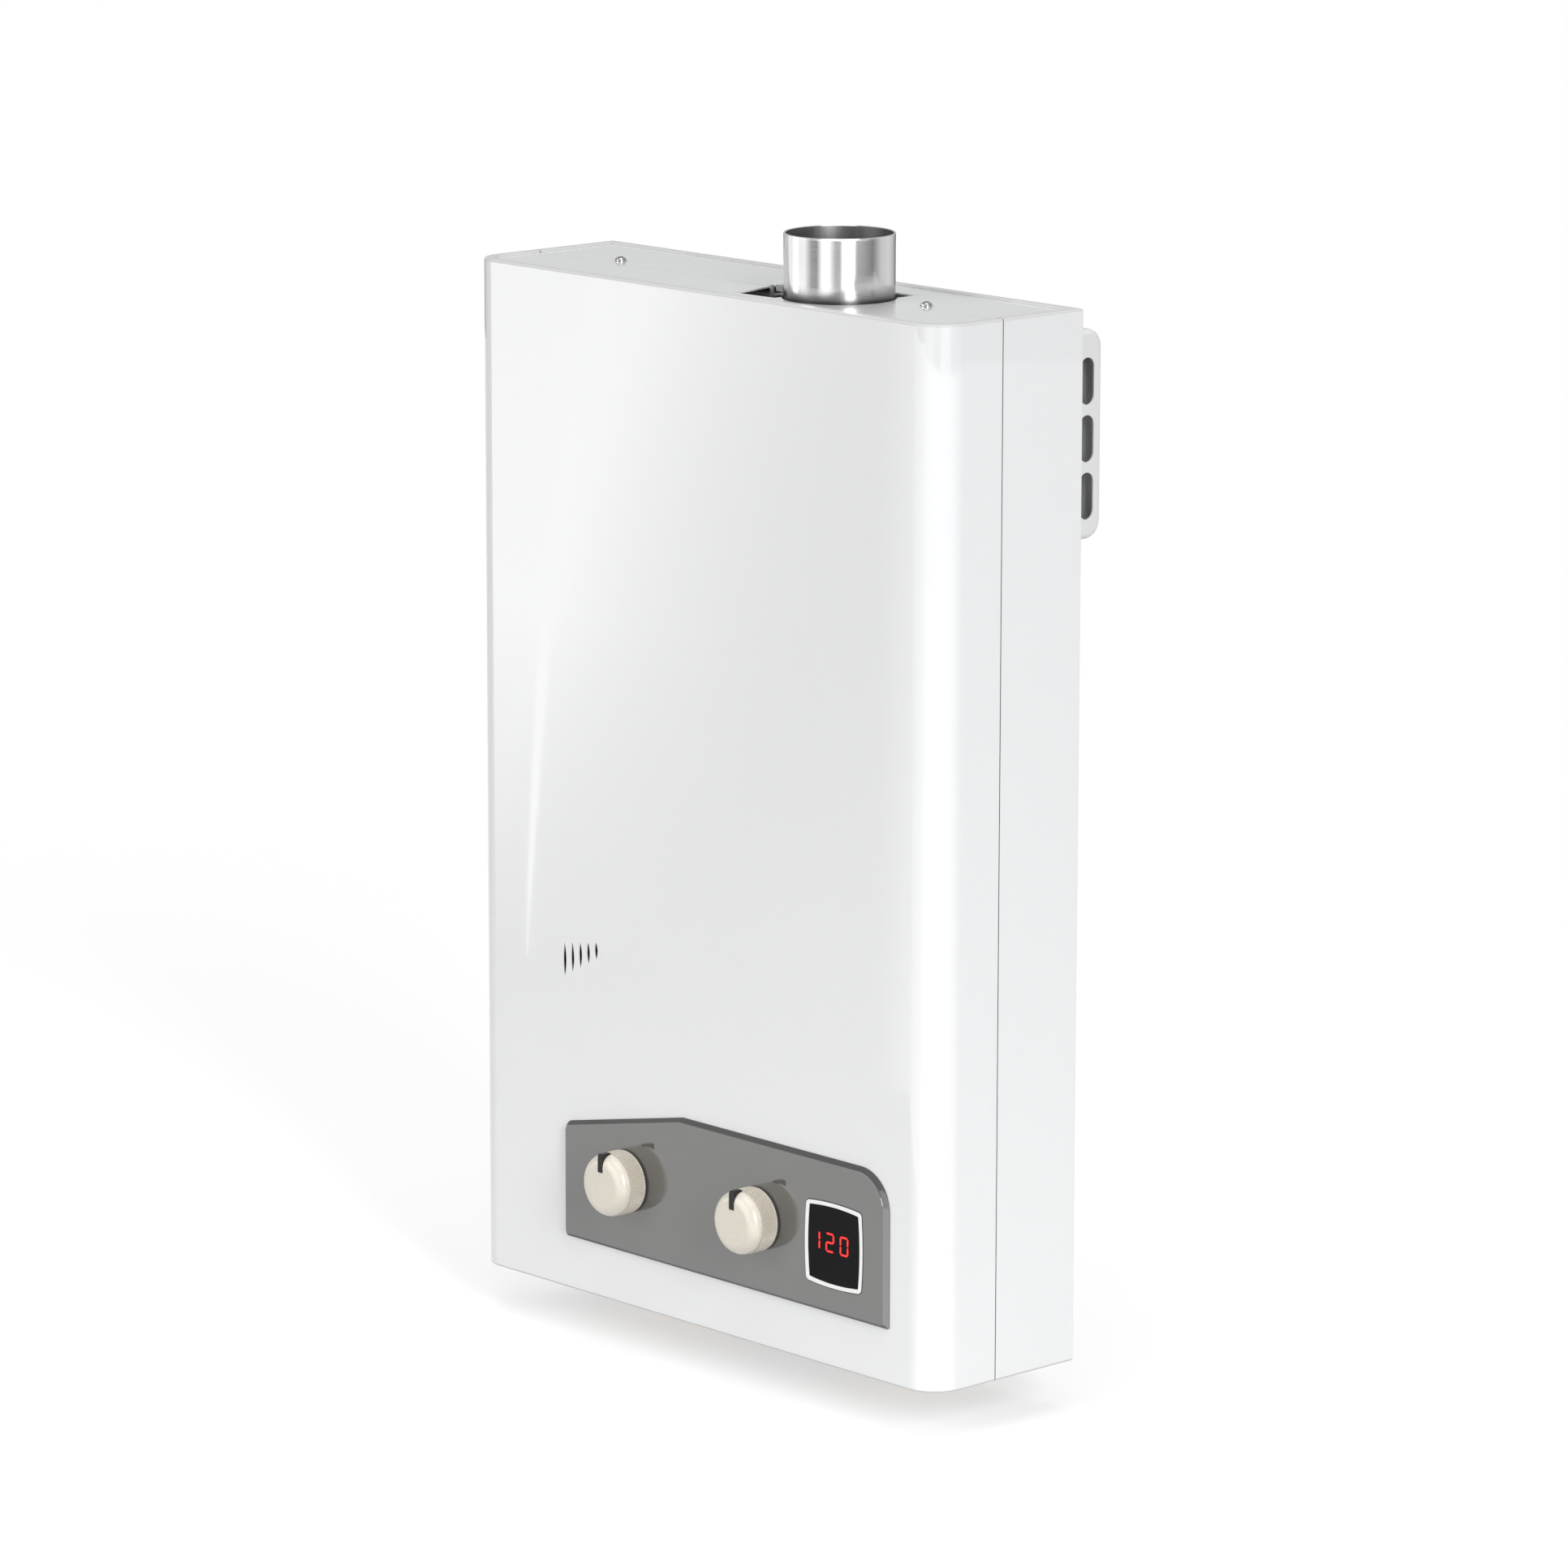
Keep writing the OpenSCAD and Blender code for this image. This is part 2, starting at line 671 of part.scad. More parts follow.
// Body of a knob round the Z axis, its face upwards: a core with a broad rounded shoulder, and a
// knurled band. The shoulder's line is moved out by m
function shoulder(r, m = 0) = [
  for (i = [0 : 9])
    let (a = 10 * i)
    [r - 0.3 - knob_round, knurl_l] + (knob_round + m) * [cos(a), sin(a)]
];
module knob_body() {
  r = knob_d / 2;
  rotate_extrude()
    polygon(concat([[0, 0], [r - 0.9, 0], [r - 0.9, knurl_l - 0.1]], shoulder(r), [[0, knob_l]]));
  linear_extrude(knurl_l - 0.3)
    polygon([
      for (i = [0 : 119])
        (i % 2 == 0 ? r : r - 0.7) * [cos(3 * i), sin(3 * i)]
    ]);
}

// The pointer: a bar with a flat front and a flat top over the face and the shoulder, let 1.4 into
// them and standing up by t
module pointer_bar(w, t, m = 0) {
  r = knob_d / 2;
  inner = shoulder(r, -1.4);
  translate([-w / 2, 0, 0]) rotate([90, 0, 90]) linear_extrude(w)
    polygon(concat(
      [[r + t, knurl_l + 0.1 - m]],
      [for (i = [0 : 3]) [r + t - 1.5, knob_l + t - 1.5] + 1.5 * [cos(30 * i), sin(30 * i)]],
      [[r - pointer_l - m, knob_l + t], [r - pointer_l - m, knob_l - 1.4]],
      [for (i = [9 : -1 : 1]) inner[i]],
      [[inner[0][0], knurl_l + 0.1 - m]]
    ));
}

module on_face(x) translate([x, knob_rear, knob_z]) rotate([90, 0, 0]) children();

module knob(x) color("ivory") in_row_frame() on_face(x) difference() {
  knob_body();
  pointer_bar(pointer_w + 2 * run_fit, 2, run_fit);
  translate([0, 0, -over]) cylinder(d = spindle_d + 2 * run_fit, h = knob_l - 4 + over);
}

module pointer(x) color("black") in_row_frame() on_face(x) pointer_bar(pointer_w, pointer_t);

// Spindle with a plug at its end: the plug is open at the rear and has one hole in its side
module spindle(x, plug_d, turn) color("goldenrod") in_row_frame() difference() {
  union() {
    round_y(x, knob_z, spindle_d, knob_rear - knob_l + 4, plug_y + 0.1);
    round_y(x, knob_z, plug_d, plug_y, plug_y + plug_l);
  }
  round_y(x, knob_z, plug_d - 7, plug_y + 6, plug_y + plug_l + over);
  translate([x, plug_y + 12, knob_z]) rotate([0, turn, 0]) cylinder(d = 6, h = plug_d);
}

gas_plug_d = 18;
water_plug_d = 14;
module gas_knob() knob(-gas_x);
module gas_knob_pointer() pointer(-gas_x);
module gas_spindle() spindle(-gas_x, gas_plug_d - 2 * run_fit, -90);
module water_knob() knob(water_x);
module water_knob_pointer() pointer(water_x);
module water_spindle() spindle(water_x, water_plug_d - 2 * run_fit, 0);

gas_face = -gas_x + valve_w / 2;
gas_top = valve_z + valve_h;
solenoid_x = -gas_x - 17.8;
outlet_x = -gas_x + 14.2;
seat_z = gas_top - 12;
gas_pipe_d = 10;

module gas_valve_body() color("silver") in_row_frame() difference() {
  box([-gas_x - valve_w / 2, valve_y, valve_z], [gas_face, valve_y + valve_d, gas_top]);
  round_y(-gas_x, knob_z, gas_plug_d, valve_y - over, plug_y + plug_l + 2);
  round_z(-gas_x, stub_y, stub_bore_d, valve_z - over, knob_z);
  round_x(plug_y + 12, knob_z, 6, solenoid_x, -gas_x);
  round_z(solenoid_x, rod_y, 6, knob_z, gas_top);
  round_z(solenoid_x, rod_y, 8, seat_z, gas_top + over);
  round_x(rod_y, seat_z + 4, 5, solenoid_x, outlet_x);
  round_z(outlet_x, rod_y, gas_pipe_d - 2, seat_z + 1, gas_top + over);
  round_x(rod_y, rod_z, rod_d + 2 * run_fit, gas_face - 14, gas_face + over);
}

module gas_solenoid() color("dimgray") in_row_frame() difference() {
  union() {
    round_z(solenoid_x, rod_y, 14, gas_top, gas_top + 4);
    round_z(solenoid_x, rod_y, 22, gas_top + 3, gas_top + 30);
    box([solenoid_x - 15, rod_y - 3, gas_top + 26], [solenoid_x - 9, rod_y + 3, gas_top + 30]);
  }
  round_z(solenoid_x, rod_y, 8, gas_top - over, gas_top + 20);
}

module solenoid_plunger() color("lightsteelblue") in_row_frame()
  round_z(solenoid_x, rod_y, 8 - 2 * run_fit, seat_z + 0.3, gas_top + 14);

rubber_x = 22;
water_left = rubber_x + rubber_t;
water_right = water_x + water_w / 2;
water_top = gas_top - 2;
elbow_z = 56;
riser_y = plug_y + 12;

module water_valve_body() color("peru") in_row_frame() difference() {
  union() {
    box([water_x - water_w / 2, valve_y, valve_z], [water_right, valve_y + 40, water_top]);
    round_x(rod_y, rod_z, chamber_d, water_left, water_x - water_w / 2 + 1);
  }
  round_x(rod_y, rod_z, 34, water_left - over, water_left + 8);
  round_x(rod_y, rod_z, 8, water_left, water_x);
  round_y(water_x, knob_z, water_plug_d, valve_y - over, plug_y + plug_l + 2);
  round_x(stub_y, elbow_z, pipe_d - 2, water_x, water_right + over);
  round_z(water_x, plug_y + plug_l + 2, 8, elbow_z, knob_z);
  round_z(water_x, riser_y, pipe_d - 2, knob_z, water_top + over);
}

module bonnet(x, d) difference() {
  union() {
    round_y(x, knob_z, d, valve_y - 4, valve_y);
    round_y(x, knob_z, d - 8, valve_y - 14, valve_y - 3);
  }
  round_y(x, knob_z, spindle_d + 2 * run_fit, valve_y - 15, valve_y + over);
}
module valve_bonnets() color("goldenrod") in_row_frame() {
  bonnet(-gas_x, gas_plug_d + 10);
  bonnet(water_x, water_plug_d + 10);
}

module diaphragm() color("black") in_row_frame() round_x(rod_y, rod_z, chamber_d, rubber_x, water_left);

module diaphragm_cover() color("peru") in_row_frame() difference() {
  round_x(rod_y, rod_z, chamber_d, rubber_x - chamber_l - 1, rubber_x);
  round_x(rod_y, rod_z, 34, rubber_x - chamber_l + 3, rubber_x + over);
  round_x(rod_y, rod_z, rod_d + 2 * run_fit, 0, rubber_x);
}

disc_x = -6;
module link_rod() color("silver") in_row_frame() {
  round_x(rod_y, rod_z, rod_d, gas_face - 6, rubber_x - 1);
  round_x(rod_y, rod_z, 26, rubber_x - 2.5, rubber_x - 0.3);
  round_x(rod_y, rod_z, 18, disc_x, disc_x + 2);
}

// Return spring round the rod, between the gas valve's side and the rod's collar
spring_wire = 1.2;
spring_d = 9;
spring_turns = 7;
module link_spring() color("lightsteelblue") in_row_frame() {
  x0 = gas_face + spring_wire / 2;
  x1 = disc_x - spring_wire / 2;
  swept([
    for (i = [0 : 8 * spring_turns])
      [x0 + (x1 - x0) * i / 8 / spring_turns, rod_y, rod_z]
      + spring_d / 2 * [0, cos(45 * i), sin(45 * i)]
  ], spring_wire, 0, 6);
}

lever_x = disc_x - 2;
lever_z = rod_z + 20;
lever_y = rod_y - 4;
module microswitch() color("black") in_row_frame() {
  box([gas_face, lever_y - 2, lever_z - 8], [lever_x - 3, lever_y + 10, lever_z + 6]);
  for (y = [lever_y - 2, lever_y + 8.5])
    box([lever_x - 4, y, lever_z - 2], [lever_x + 1.4, y + 1.5, lever_z + 2]);
  round_y(lever_x, lever_z, 1.2, lever_y - 1, lever_y + 9);
}

module switch_lever() color("silver") in_row_frame() difference() {
  union() {
    round_y(lever_x, lever_z, 2.8, lever_y, lever_y + 8);
    box([lever_x + 0.8, lever_y, lever_z - 14], [lever_x + 1.5, lever_y + 8, lever_z]);
  }
  round_y(lever_x, lever_z, 1.2 + 2 * run_fit, lever_y - over, lever_y + 8 + over);
}

// Hexagonal nut or flange round a vertical axis
module hexagon(x, y, w, z0, z1) translate([x, y, z0]) cylinder(d = w / cos(30), h = z1 - z0, $fn = 6);

// Threaded stub that goes up through the bottom plate, with a nut below it and a body above it
module fitting(x, top, bore_d) difference() {
  union() {
    round_z(x, stub_y, stub_d, -stub_l, deck + 0.1);
    hexagon(x, stub_y, nut_w, sheet - 6, sheet);
    hexagon(x, stub_y, nut_w, deck, deck + boss_h);
    round_z(x, stub_y, 20, deck + boss_h - 0.1, top);
  }
  round_z(x, stub_y, stub_bore_d, -stub_l - over, deck + boss_h);
  round_z(x, stub_y, bore_d, 0, top + over);
}

fitting_top = 30;
module cold_inlet_fitting() color("goldenrod") in_row_frame() fitting(cold_x, fitting_top, pipe_d - 2);
module hot_outlet_fitting() color("goldenrod") in_row_frame() fitting(-hot_x, fitting_top, pipe_d - 2);
module gas_inlet_fitting() color("goldenrod") in_row_frame() fitting(-gas_x, valve_z, stub_bore_d);

module power_gland() color("dimgray") in_row_frame() difference() {
  union() {
    round_z(gland_x, stub_y, gland_d, -14, deck + 8);
    hexagon(gland_x, stub_y, 24, -6, sheet);
    hexagon(gland_x, stub_y, 24, deck, deck + 5);
  }
  round_z(gland_x, stub_y, 8, -15, deck + 9);
}

module cold_elbow_pipe() color("sienna") in_row_frame()
  swept(rounded([
    [cold_x, stub_y, fitting_top], [cold_x, stub_y, elbow_z], [water_right, stub_y, elbow_z]
  ], 12, 6), pipe_d, 1);

right_x = 110;
coil_z = chamber_z + coil_rise;
coil_r = 14 + coil_gap;
coil_x = core_right + coil_gap;
tube_z = fin_z + fin_h / 2;
tube_y = [core_y + core_d / 2 + 20, core_y + core_d / 2, core_y + core_d / 2 - 20];
tube_x = core_right + 14.2;
coil_end = coil_z + coil_turns * coil_pitch;

module cold_riser_pipe() color("sienna") in_row_frame()
  swept(rounded([
    [water_x, riser_y, water_top], [water_x, riser_y, water_top + 30],
    [right_x, riser_y, water_top + 30], [right_x, 30, water_top + 46], [right_x, 30, coil_z - 22]
  ], 7, 5), pipe_d, 1);

// Pipe wound round the chamber: it comes in at the right and climbs a quarter pitch on each side
module exchanger_coil() color("sienna") in_row_frame()
  swept(concat(
    [
      [right_x, 30, coil_z - 22], [right_x, 30, coil_z - 8],
      [right_x - 3, 32.5, coil_z - 3.5], [coil_x + 2.5, 38.5, coil_z - 0.8]
    ],
    [
      for (turn = [0 : coil_turns - 1]) for (q = [0 : 3]) for (k = [0 : 6])
        let (
          a = 90 * q + 15 * k,
          x = q == 0 || q == 3 ? core_right - 14 : core_left + 14,
          y = q < 2 ? core_back - 14 : core_y + 14
        )
        [x + coil_r * cos(a), y + coil_r * sin(a), coil_z + coil_pitch * (turn + (q + 0.3 + 0.4 * k / 6) / 4)]
    ],
    [
      [coil_x + 0.6, 47, coil_end + 1.2], [tube_x - 3, 56, coil_end + 3], [tube_x, tube_y[0] - 6, coil_end + 6],
      [tube_x, tube_y[0], coil_end + 12], [tube_x, tube_y[0], tube_z - 12]
    ]
  ), pipe_d, 1);

module exchanger_chamber() color("sienna") in_row_frame() difference() {
  translate([0, 0, chamber_z]) linear_extrude(chamber_h) chamber_plan(0);
  translate([0, 0, chamber_z - over]) linear_extrude(chamber_h + 2 * over) chamber_plan(skin);
  for (x = electrode_x) round_y(x, electrode_z, 6 + 2 * lay_fit, core_y - over, core_y + 3);
}
module chamber_plan(m) {
  translate([core_left + m, core_y + 14]) square([core_w - 2 * m, core_d - 28]);
  translate([core_left + 14, core_y + m]) square([core_w - 28, core_d - 2 * m]);
  for (x = [core_left + 14, core_right - 14]) for (y = [core_y + 14, core_back - 14])
    translate([x, y]) circle(14 - m);
}

module fin_block() color("peru") in_row_frame() difference() {
  union() {
    difference() {
      box([core_left, core_y, fin_z], [core_right, core_back, hood_z]);
      box([core_left + 2, core_y + 2, fin_z - over], [core_right - 2, core_back - 2, hood_z + over]);
    }
    for (i = [1 : fin_count])
      translate([core_left + i * core_w / (fin_count + 1), 0, 0])
        box([-0.25, core_y + 1, fin_z + 3], [0.25, core_back - 1, hood_z - 3]);
  }
  for (y = tube_y) translate([core_left - over, y, tube_z]) rotate([0, 90, 0])
    cylinder(d = pipe_d + 2 * lay_fit, h = core_w + 2 * over, $fn = 24);
}

module fin_tube() color("sienna") in_row_frame()
  swept(rounded([
    [tube_x, tube_y[0], tube_z - 12], [tube_x, tube_y[0], tube_z], [core_left - 16, tube_y[0], tube_z],
    [core_left - 16, tube_y[1], tube_z], [core_right + 16, tube_y[1], tube_z],
    [core_right + 16, tube_y[2], tube_z], [core_left - 12, tube_y[2], tube_z]
  ], 9.5, 6), pipe_d, 1);

left_x = core_left - 2 * pipe_d;
module hot_pipe() color("sienna") in_row_frame()
  swept(rounded([
    [core_left - 12, tube_y[2], tube_z], [left_x, tube_y[2], tube_z], [left_x, tube_y[2], burner_z - 22],
    [-hot_x, stub_y, gas_top], [-hot_x, stub_y, fitting_top]
  ], 10, 6), pipe_d, 1);

manifold_y = core_y - 13;
manifold_z = burner_z + 5;
module gas_pipe() color("silver") in_row_frame()
  swept(rounded([
    [outlet_x, rod_y, gas_top], [outlet_x, rod_y, gas_top + 36],
    [outlet_x, manifold_y + 5, gas_top + 36], [outlet_x, manifold_y + 5, manifold_z]
  ], 9, 6), gas_pipe_d, 1);

bar_pitch = (core_w - 32) / (bar_count - 1);
function bar_at(i) = -core_x + (i - (bar_count - 1) / 2) * bar_pitch;
jet_z = manifold_z + 7;

module gas_manifold() color("silver") in_row_frame() difference() {
  union() {
    box([core_left + 4, manifold_y, manifold_z], [core_right - 4, manifold_y + 10, manifold_z + 14]);
    for (x = [core_left + 4, core_right - 10])
      box([x, manifold_y + 9, manifold_z], [x + 6, core_y, manifold_z + 14]);
  }
  box([core_left + 6, manifold_y + 2, manifold_z + 2], [core_right - 6, manifold_y + 8, manifold_z + 12]);
  round_z(outlet_x, manifold_y + 5, gas_pipe_d - 4, manifold_z - over, manifold_z + 4);
  for (i = [0 : bar_count - 1]) round_y(bar_at(i), jet_z, 4, manifold_y + 6, manifold_y + 11);
}

module injectors() color("goldenrod") in_row_frame() for (i = [0 : bar_count - 1]) difference() {
  union() {
    round_y(bar_at(i), jet_z, 7, manifold_y + 10, core_y + 1);
    round_y(bar_at(i), jet_z, 4, core_y + 0.5, core_y + 3);
  }
  round_y(bar_at(i), jet_z, 1.5, manifold_y + 9, core_y + 4);
}

module burner_bars() color("lightgray") in_row_frame() for (i = [0 : bar_count - 1]) difference() {
  x = bar_at(i);
  box([x - bar_w / 2, core_y + 4, burner_z + 2], [x + bar_w / 2, core_back - 4, chamber_z - 9]);
  box([x - bar_w / 2 + skin, core_y + 6, jet_z + 6], [x + bar_w / 2 - skin, core_back - 6, chamber_z - 16]);
  round_y(x, jet_z, 6, core_y, core_y + 40);
  box([x - 2, core_y + 20, jet_z], [x + 2, core_y + 36, jet_z + 8]);
  for (k = [0 : 5])
    box([x - bar_w / 2 + 1.5, core_y + 9 + 10 * k, chamber_z - 14],
      [x + bar_w / 2 - 1.5, core_y + 12 + 10 * k, chamber_z]);
}

module burner_tray() color("lightgray") in_row_frame() {
  difference() {
    box([core_left, core_y, burner_z], [core_right, core_back, chamber_z]);
    box([core_left + skin, core_y + skin, burner_z - over],
      [core_right - skin, core_back - skin, chamber_z + over]);
    for (i = [0 : bar_count - 1]) round_y(bar_at(i), jet_z, 9, core_y - over, core_y + 3);
    box([-slit_x - 4, core_y - over, slit_top - slit_h], [-slit_x + 30, core_y + 3, slit_top + 3]);
  }
  for (y = [core_y + 12, core_back - 18])
    box([core_left + 0.5, y, burner_z], [core_right - 0.5, y + 6, burner_z + 2]);
}

// C-shaped bracket from y0 back to y1, its web at the left
module bracket(x, z, w, h, y0, y1) {
  t = 1.5;
  box([x, y0, z], [x + t, y1, z + h]);
  box([x, y0, z], [x + w, y0 + t, z + h]);
  box([x, y1 - t, z], [x + w, y1, z + h]);
}
module inner_brackets() color("silver") in_row_frame() {
  for (x = [core_left + 16, core_right - 16 - bracket_w]) {
    bracket(x, burner_z + 6, bracket_w, bracket_h, core_back, case_d - sheet);
    bracket(x, fin_z + 12, bracket_w, bracket_h, core_back, case_d - sheet);
  }
  for (x = [fan_x - 46, fan_x + 36])
    bracket(x, fan_z - 8, 10, 16, scroll_back, case_d - sheet);
}

electrode_x = [-30, 0];
electrode_z = chamber_z + 8;
module electrodes() color("white") in_row_frame() for (x = electrode_x) {
  round_y(x, electrode_z, 6, core_y - 9, core_y + 6);
  round_y(x, electrode_z, 10, core_y - 2, core_y);
  round_y(x, electrode_z, 2, core_y + 5, core_y + 24);
}

channel_left = fan_x - 54;
channel_right = fan_x + 54;
channel_top = scroll_top - 5;
channel_y = core_y - 12.6;
module flue_hood() color("silver") in_row_frame() difference() {
  union() {
    box([core_left, core_y, hood_z], [core_right, core_back, hood_top]);
    box([channel_left, channel_y, hood_top - 24], [channel_right, core_y + skin, hood_top]);
    box([channel_left, channel_y, hood_top - 24], [channel_right, scroll_y, channel_top]);
  }
  box([core_left + skin, core_y + skin, hood_z - over], [core_right - skin, core_back - skin, hood_top - skin]);
  box([channel_left + skin, channel_y + skin, hood_top - 24 + skin],
    [channel_right - skin, scroll_y - skin, channel_top - skin]);
  box([max(channel_left, core_left) + skin, core_y - 3, hood_top - 24 + skin],
    [min(channel_right, core_right) - skin, core_y + 3, hood_top - skin]);
  round_y(fan_x, fan_z, 60, scroll_y - 4, scroll_y + over);
}

duct_left = flue_x - flue_d / 2;
duct_right = flue_x + flue_d / 2;
module fan_housing() color("silver") in_row_frame() difference() {
  union() {
    round_y(fan_x, fan_z, scroll_d, scroll_y, scroll_back);
    box([duct_left, scroll_y, fan_z], [duct_right, scroll_back, scroll_top]);
    flue_flange(scroll_top - 2, scroll_top);
  }
  round_y(fan_x, fan_z, scroll_d - 2 * scroll_t, scroll_y + scroll_t, scroll_back - scroll_t);
  box([duct_left + scroll_t, scroll_y + scroll_t, fan_z],
    [duct_right - scroll_t, scroll_back - scroll_t, scroll_top + over]);
  round_y(fan_x, fan_z, 60, scroll_y - over, scroll_y + 3);
  round_y(fan_x, fan_z, shaft_d + 4, scroll_back - 3, scroll_back + over);
}
module flue_flange(z0, z1)
  box([duct_left - flange_m, scroll_y - flange_m, z0], [duct_right + flange_m, scroll_back + flange_m, z1]);

wheel_y = scroll_y + 8;
module fan_wheel() color("lightsteelblue") in_row_frame() translate([fan_x, wheel_y, fan_z]) rotate([-90, 0, 0]) {
  r = wheel_d / 2;
  difference() {
    union() {
      translate([0, 0, 36]) cylinder(r = r, h = 1.5);
      translate([0, 0, 26]) cylinder(r = 9, h = 14);
    }
    translate([0, 0, 20]) cylinder(d = shaft_d + 2 * run_fit, h = 30);
  }
  difference() {
    cylinder(r = r, h = 2);
    translate([0, 0, -over]) cylinder(r = r - 9, h = 2 + 2 * over);
  }
  for (i = [0 : blade_count - 1]) rotate(360 * i / blade_count)
    translate([r - 5.5, 0, 1]) rotate(40) box([-4.5, -0.4, 0], [4.5, 0.4, 35.5]);
}

motor_back = scroll_back + motor_l;
module motor_shaft() color("silver") in_row_frame() {
  round_y(fan_x, fan_z, shaft_d, wheel_y + 24, motor_back - 3);
  round_y(fan_x, fan_z, shaft_d + 3, wheel_y + 40, wheel_y + 42);
  round_y(fan_x, fan_z, motor_d - 17, scroll_back + 8, motor_back - 12);
}

module fan_motor() color("dimgray") in_row_frame() difference() {
  union() {
    difference() {
      round_y(fan_x, fan_z, motor_d, scroll_back, motor_back);
      round_y(fan_x, fan_z, motor_d - 3, scroll_back + 2, motor_back - 2);
    }
    round_y(fan_x, fan_z, 16, motor_back - 8, motor_back - 1);
    difference() {
      round_y(fan_x, fan_z, motor_d - 2, scroll_back + 6, motor_back - 10);
      round_y(fan_x, fan_z, motor_d - 16, scroll_back, motor_back);
    }
  }
  round_y(fan_x, fan_z, shaft_d + 2 * run_fit, scroll_back - over, motor_back - 2);
}

module flue_gasket() color("black") in_row_frame() difference() {
  flue_flange(scroll_top, collar_z);
  round_z(flue_x, flue_y, flue_d - 2 * flue_t, scroll_top - over, collar_z + over);
}

module flue_collar() color("silver") in_row_frame() difference() {
  union() {
    flue_flange(collar_z, collar_z + 1.5);
    round_z(flue_x, flue_y, flue_d, collar_z, case_h + flue_rise);
  }
  round_z(flue_x, flue_y, flue_d - 2 * flue_t, collar_z - over, case_h + flue_rise + over);
}

module collar_tab() color("silver") in_row_frame() {
  x = opening_left - 3.5;
  y = seam_y + 0.2;
  z = collar_z + 1.5;
  box([x - 2, y - 1.5, z + 5], [x, y, case_h]);
  box([x - 18, y - 1.5, z + 5], [x, y + 12, z + 6]);
  box([x - 1, y + 4, z + 5], [x + 5, y + 12, z + 6]);
  box([x + 1.3, y, z + 8.4], [x + 6.7, y + 1, case_h + 0.4]);
  box([x + 1.3, y, z + 8.4], [x + 6.7, y + 12, z + 9.4]);
  box([x + 4, y + 4, z], [x + 5, y + 12, z + 9.4]);
  box([x + 4, y + 4, z], [duct_left - flange_m + 4, y + 12, z + 1]);
}

module control_box() color("dimgray") in_row_frame() {
  x = -case_r + 8;
  y = case_d - sheet - box_depth;
  box([x, y, box_z], [x + box_w, case_d - sheet, box_z + box_h]);
  box([x - 1, y - 3, box_z - 1], [x + box_w + 1, y + 3, box_z + box_h + 1]);
  for (z = [box_z - 6, box_z + 16]) box([x + 4, y + 9, z], [x + 20, y + 27, z + 16]);
}

switch_z = hood_top + 8;
module pressure_switch() color("white") in_row_frame() {
  round_y(-switch_x, switch_z, switch_d, case_d - sheet - 14, case_d - sheet);
  round_y(-switch_x, switch_z, switch_d * 0.6, case_d - sheet - 20, case_d - sheet - 13);
  round_y(-switch_x, switch_z, 5, case_d - sheet - 30, case_d - sheet - 19);
}

module thermostat() color("black") in_row_frame() {
  z = hood_z + 16;
  round_x(core_y + core_d / 2, z, 16, core_left - 8, core_left);
  round_x(core_y + core_d / 2, z, 22, core_left - 1, core_left);
  for (y = [-5, 3])
    box([core_left - 14, core_y + core_d / 2 + y, z - 3], [core_left - 7, core_y + core_d / 2 + y + 2, z + 3]);
}

rear_chassis();
chassis_top_plate();
chassis_bottom_plate();
front_cover();
cover_top_plate();
cover_bottom_plate();
rear_hanger();
lower_wall_tab();
casing_screws();
control_panel();
display_frame();
display_window();
display_digits();
display_module();
gas_knob();
gas_knob_pointer();
gas_spindle();
water_knob();
water_knob_pointer();
water_spindle();
gas_valve_body();
gas_solenoid();
solenoid_plunger();
water_valve_body();
valve_bonnets();
diaphragm();
diaphragm_cover();
link_rod();
link_spring();
microswitch();
switch_lever();
cold_inlet_fitting();
hot_outlet_fitting();
gas_inlet_fitting();
power_gland();
cold_elbow_pipe();
cold_riser_pipe();
exchanger_coil();
exchanger_chamber();
fin_block();
fin_tube();
hot_pipe();
gas_pipe();
gas_manifold();
injectors();
burner_bars();
burner_tray();
inner_brackets();
electrodes();
flue_hood();
fan_housing();
fan_wheel();
motor_shaft();
fan_motor();
flue_gasket();
flue_collar();
collar_tab();
control_box();
pressure_switch();
thermostat();
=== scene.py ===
# Wall-hung tankless water heater for propane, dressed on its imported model.
# Piece sizes below are in millimetres in the heater's own measures: x to the right of the casing's
# centre line, y back from the front face, z up from the casing's bottom edge.
import bpy
import bmesh
import math
from mathutils import Matrix, Vector


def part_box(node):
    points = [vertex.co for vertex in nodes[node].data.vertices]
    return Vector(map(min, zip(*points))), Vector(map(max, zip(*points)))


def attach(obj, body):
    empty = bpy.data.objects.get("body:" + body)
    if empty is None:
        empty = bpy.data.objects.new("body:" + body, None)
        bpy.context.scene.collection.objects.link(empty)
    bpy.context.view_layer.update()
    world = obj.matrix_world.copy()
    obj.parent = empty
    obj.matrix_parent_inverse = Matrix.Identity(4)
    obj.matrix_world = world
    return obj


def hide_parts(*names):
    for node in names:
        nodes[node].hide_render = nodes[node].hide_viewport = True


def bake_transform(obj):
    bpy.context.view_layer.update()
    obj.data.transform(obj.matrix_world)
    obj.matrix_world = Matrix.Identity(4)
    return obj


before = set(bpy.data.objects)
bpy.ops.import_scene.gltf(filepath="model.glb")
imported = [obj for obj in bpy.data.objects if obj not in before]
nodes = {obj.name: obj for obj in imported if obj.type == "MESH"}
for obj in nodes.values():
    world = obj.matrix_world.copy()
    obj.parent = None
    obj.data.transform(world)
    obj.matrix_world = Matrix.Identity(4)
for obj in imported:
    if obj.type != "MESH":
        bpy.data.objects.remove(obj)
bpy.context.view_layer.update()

# Camera
# The photograph's own viewpoint: a long lens from the right front, a little above the casing.
camera_data = bpy.data.cameras.new("camera")
camera_data.lens = 167.35
camera_data.sensor_width = 36
camera_data.clip_end = 60
camera = bpy.data.objects.new("camera", camera_data)
bpy.context.scene.collection.objects.link(camera)
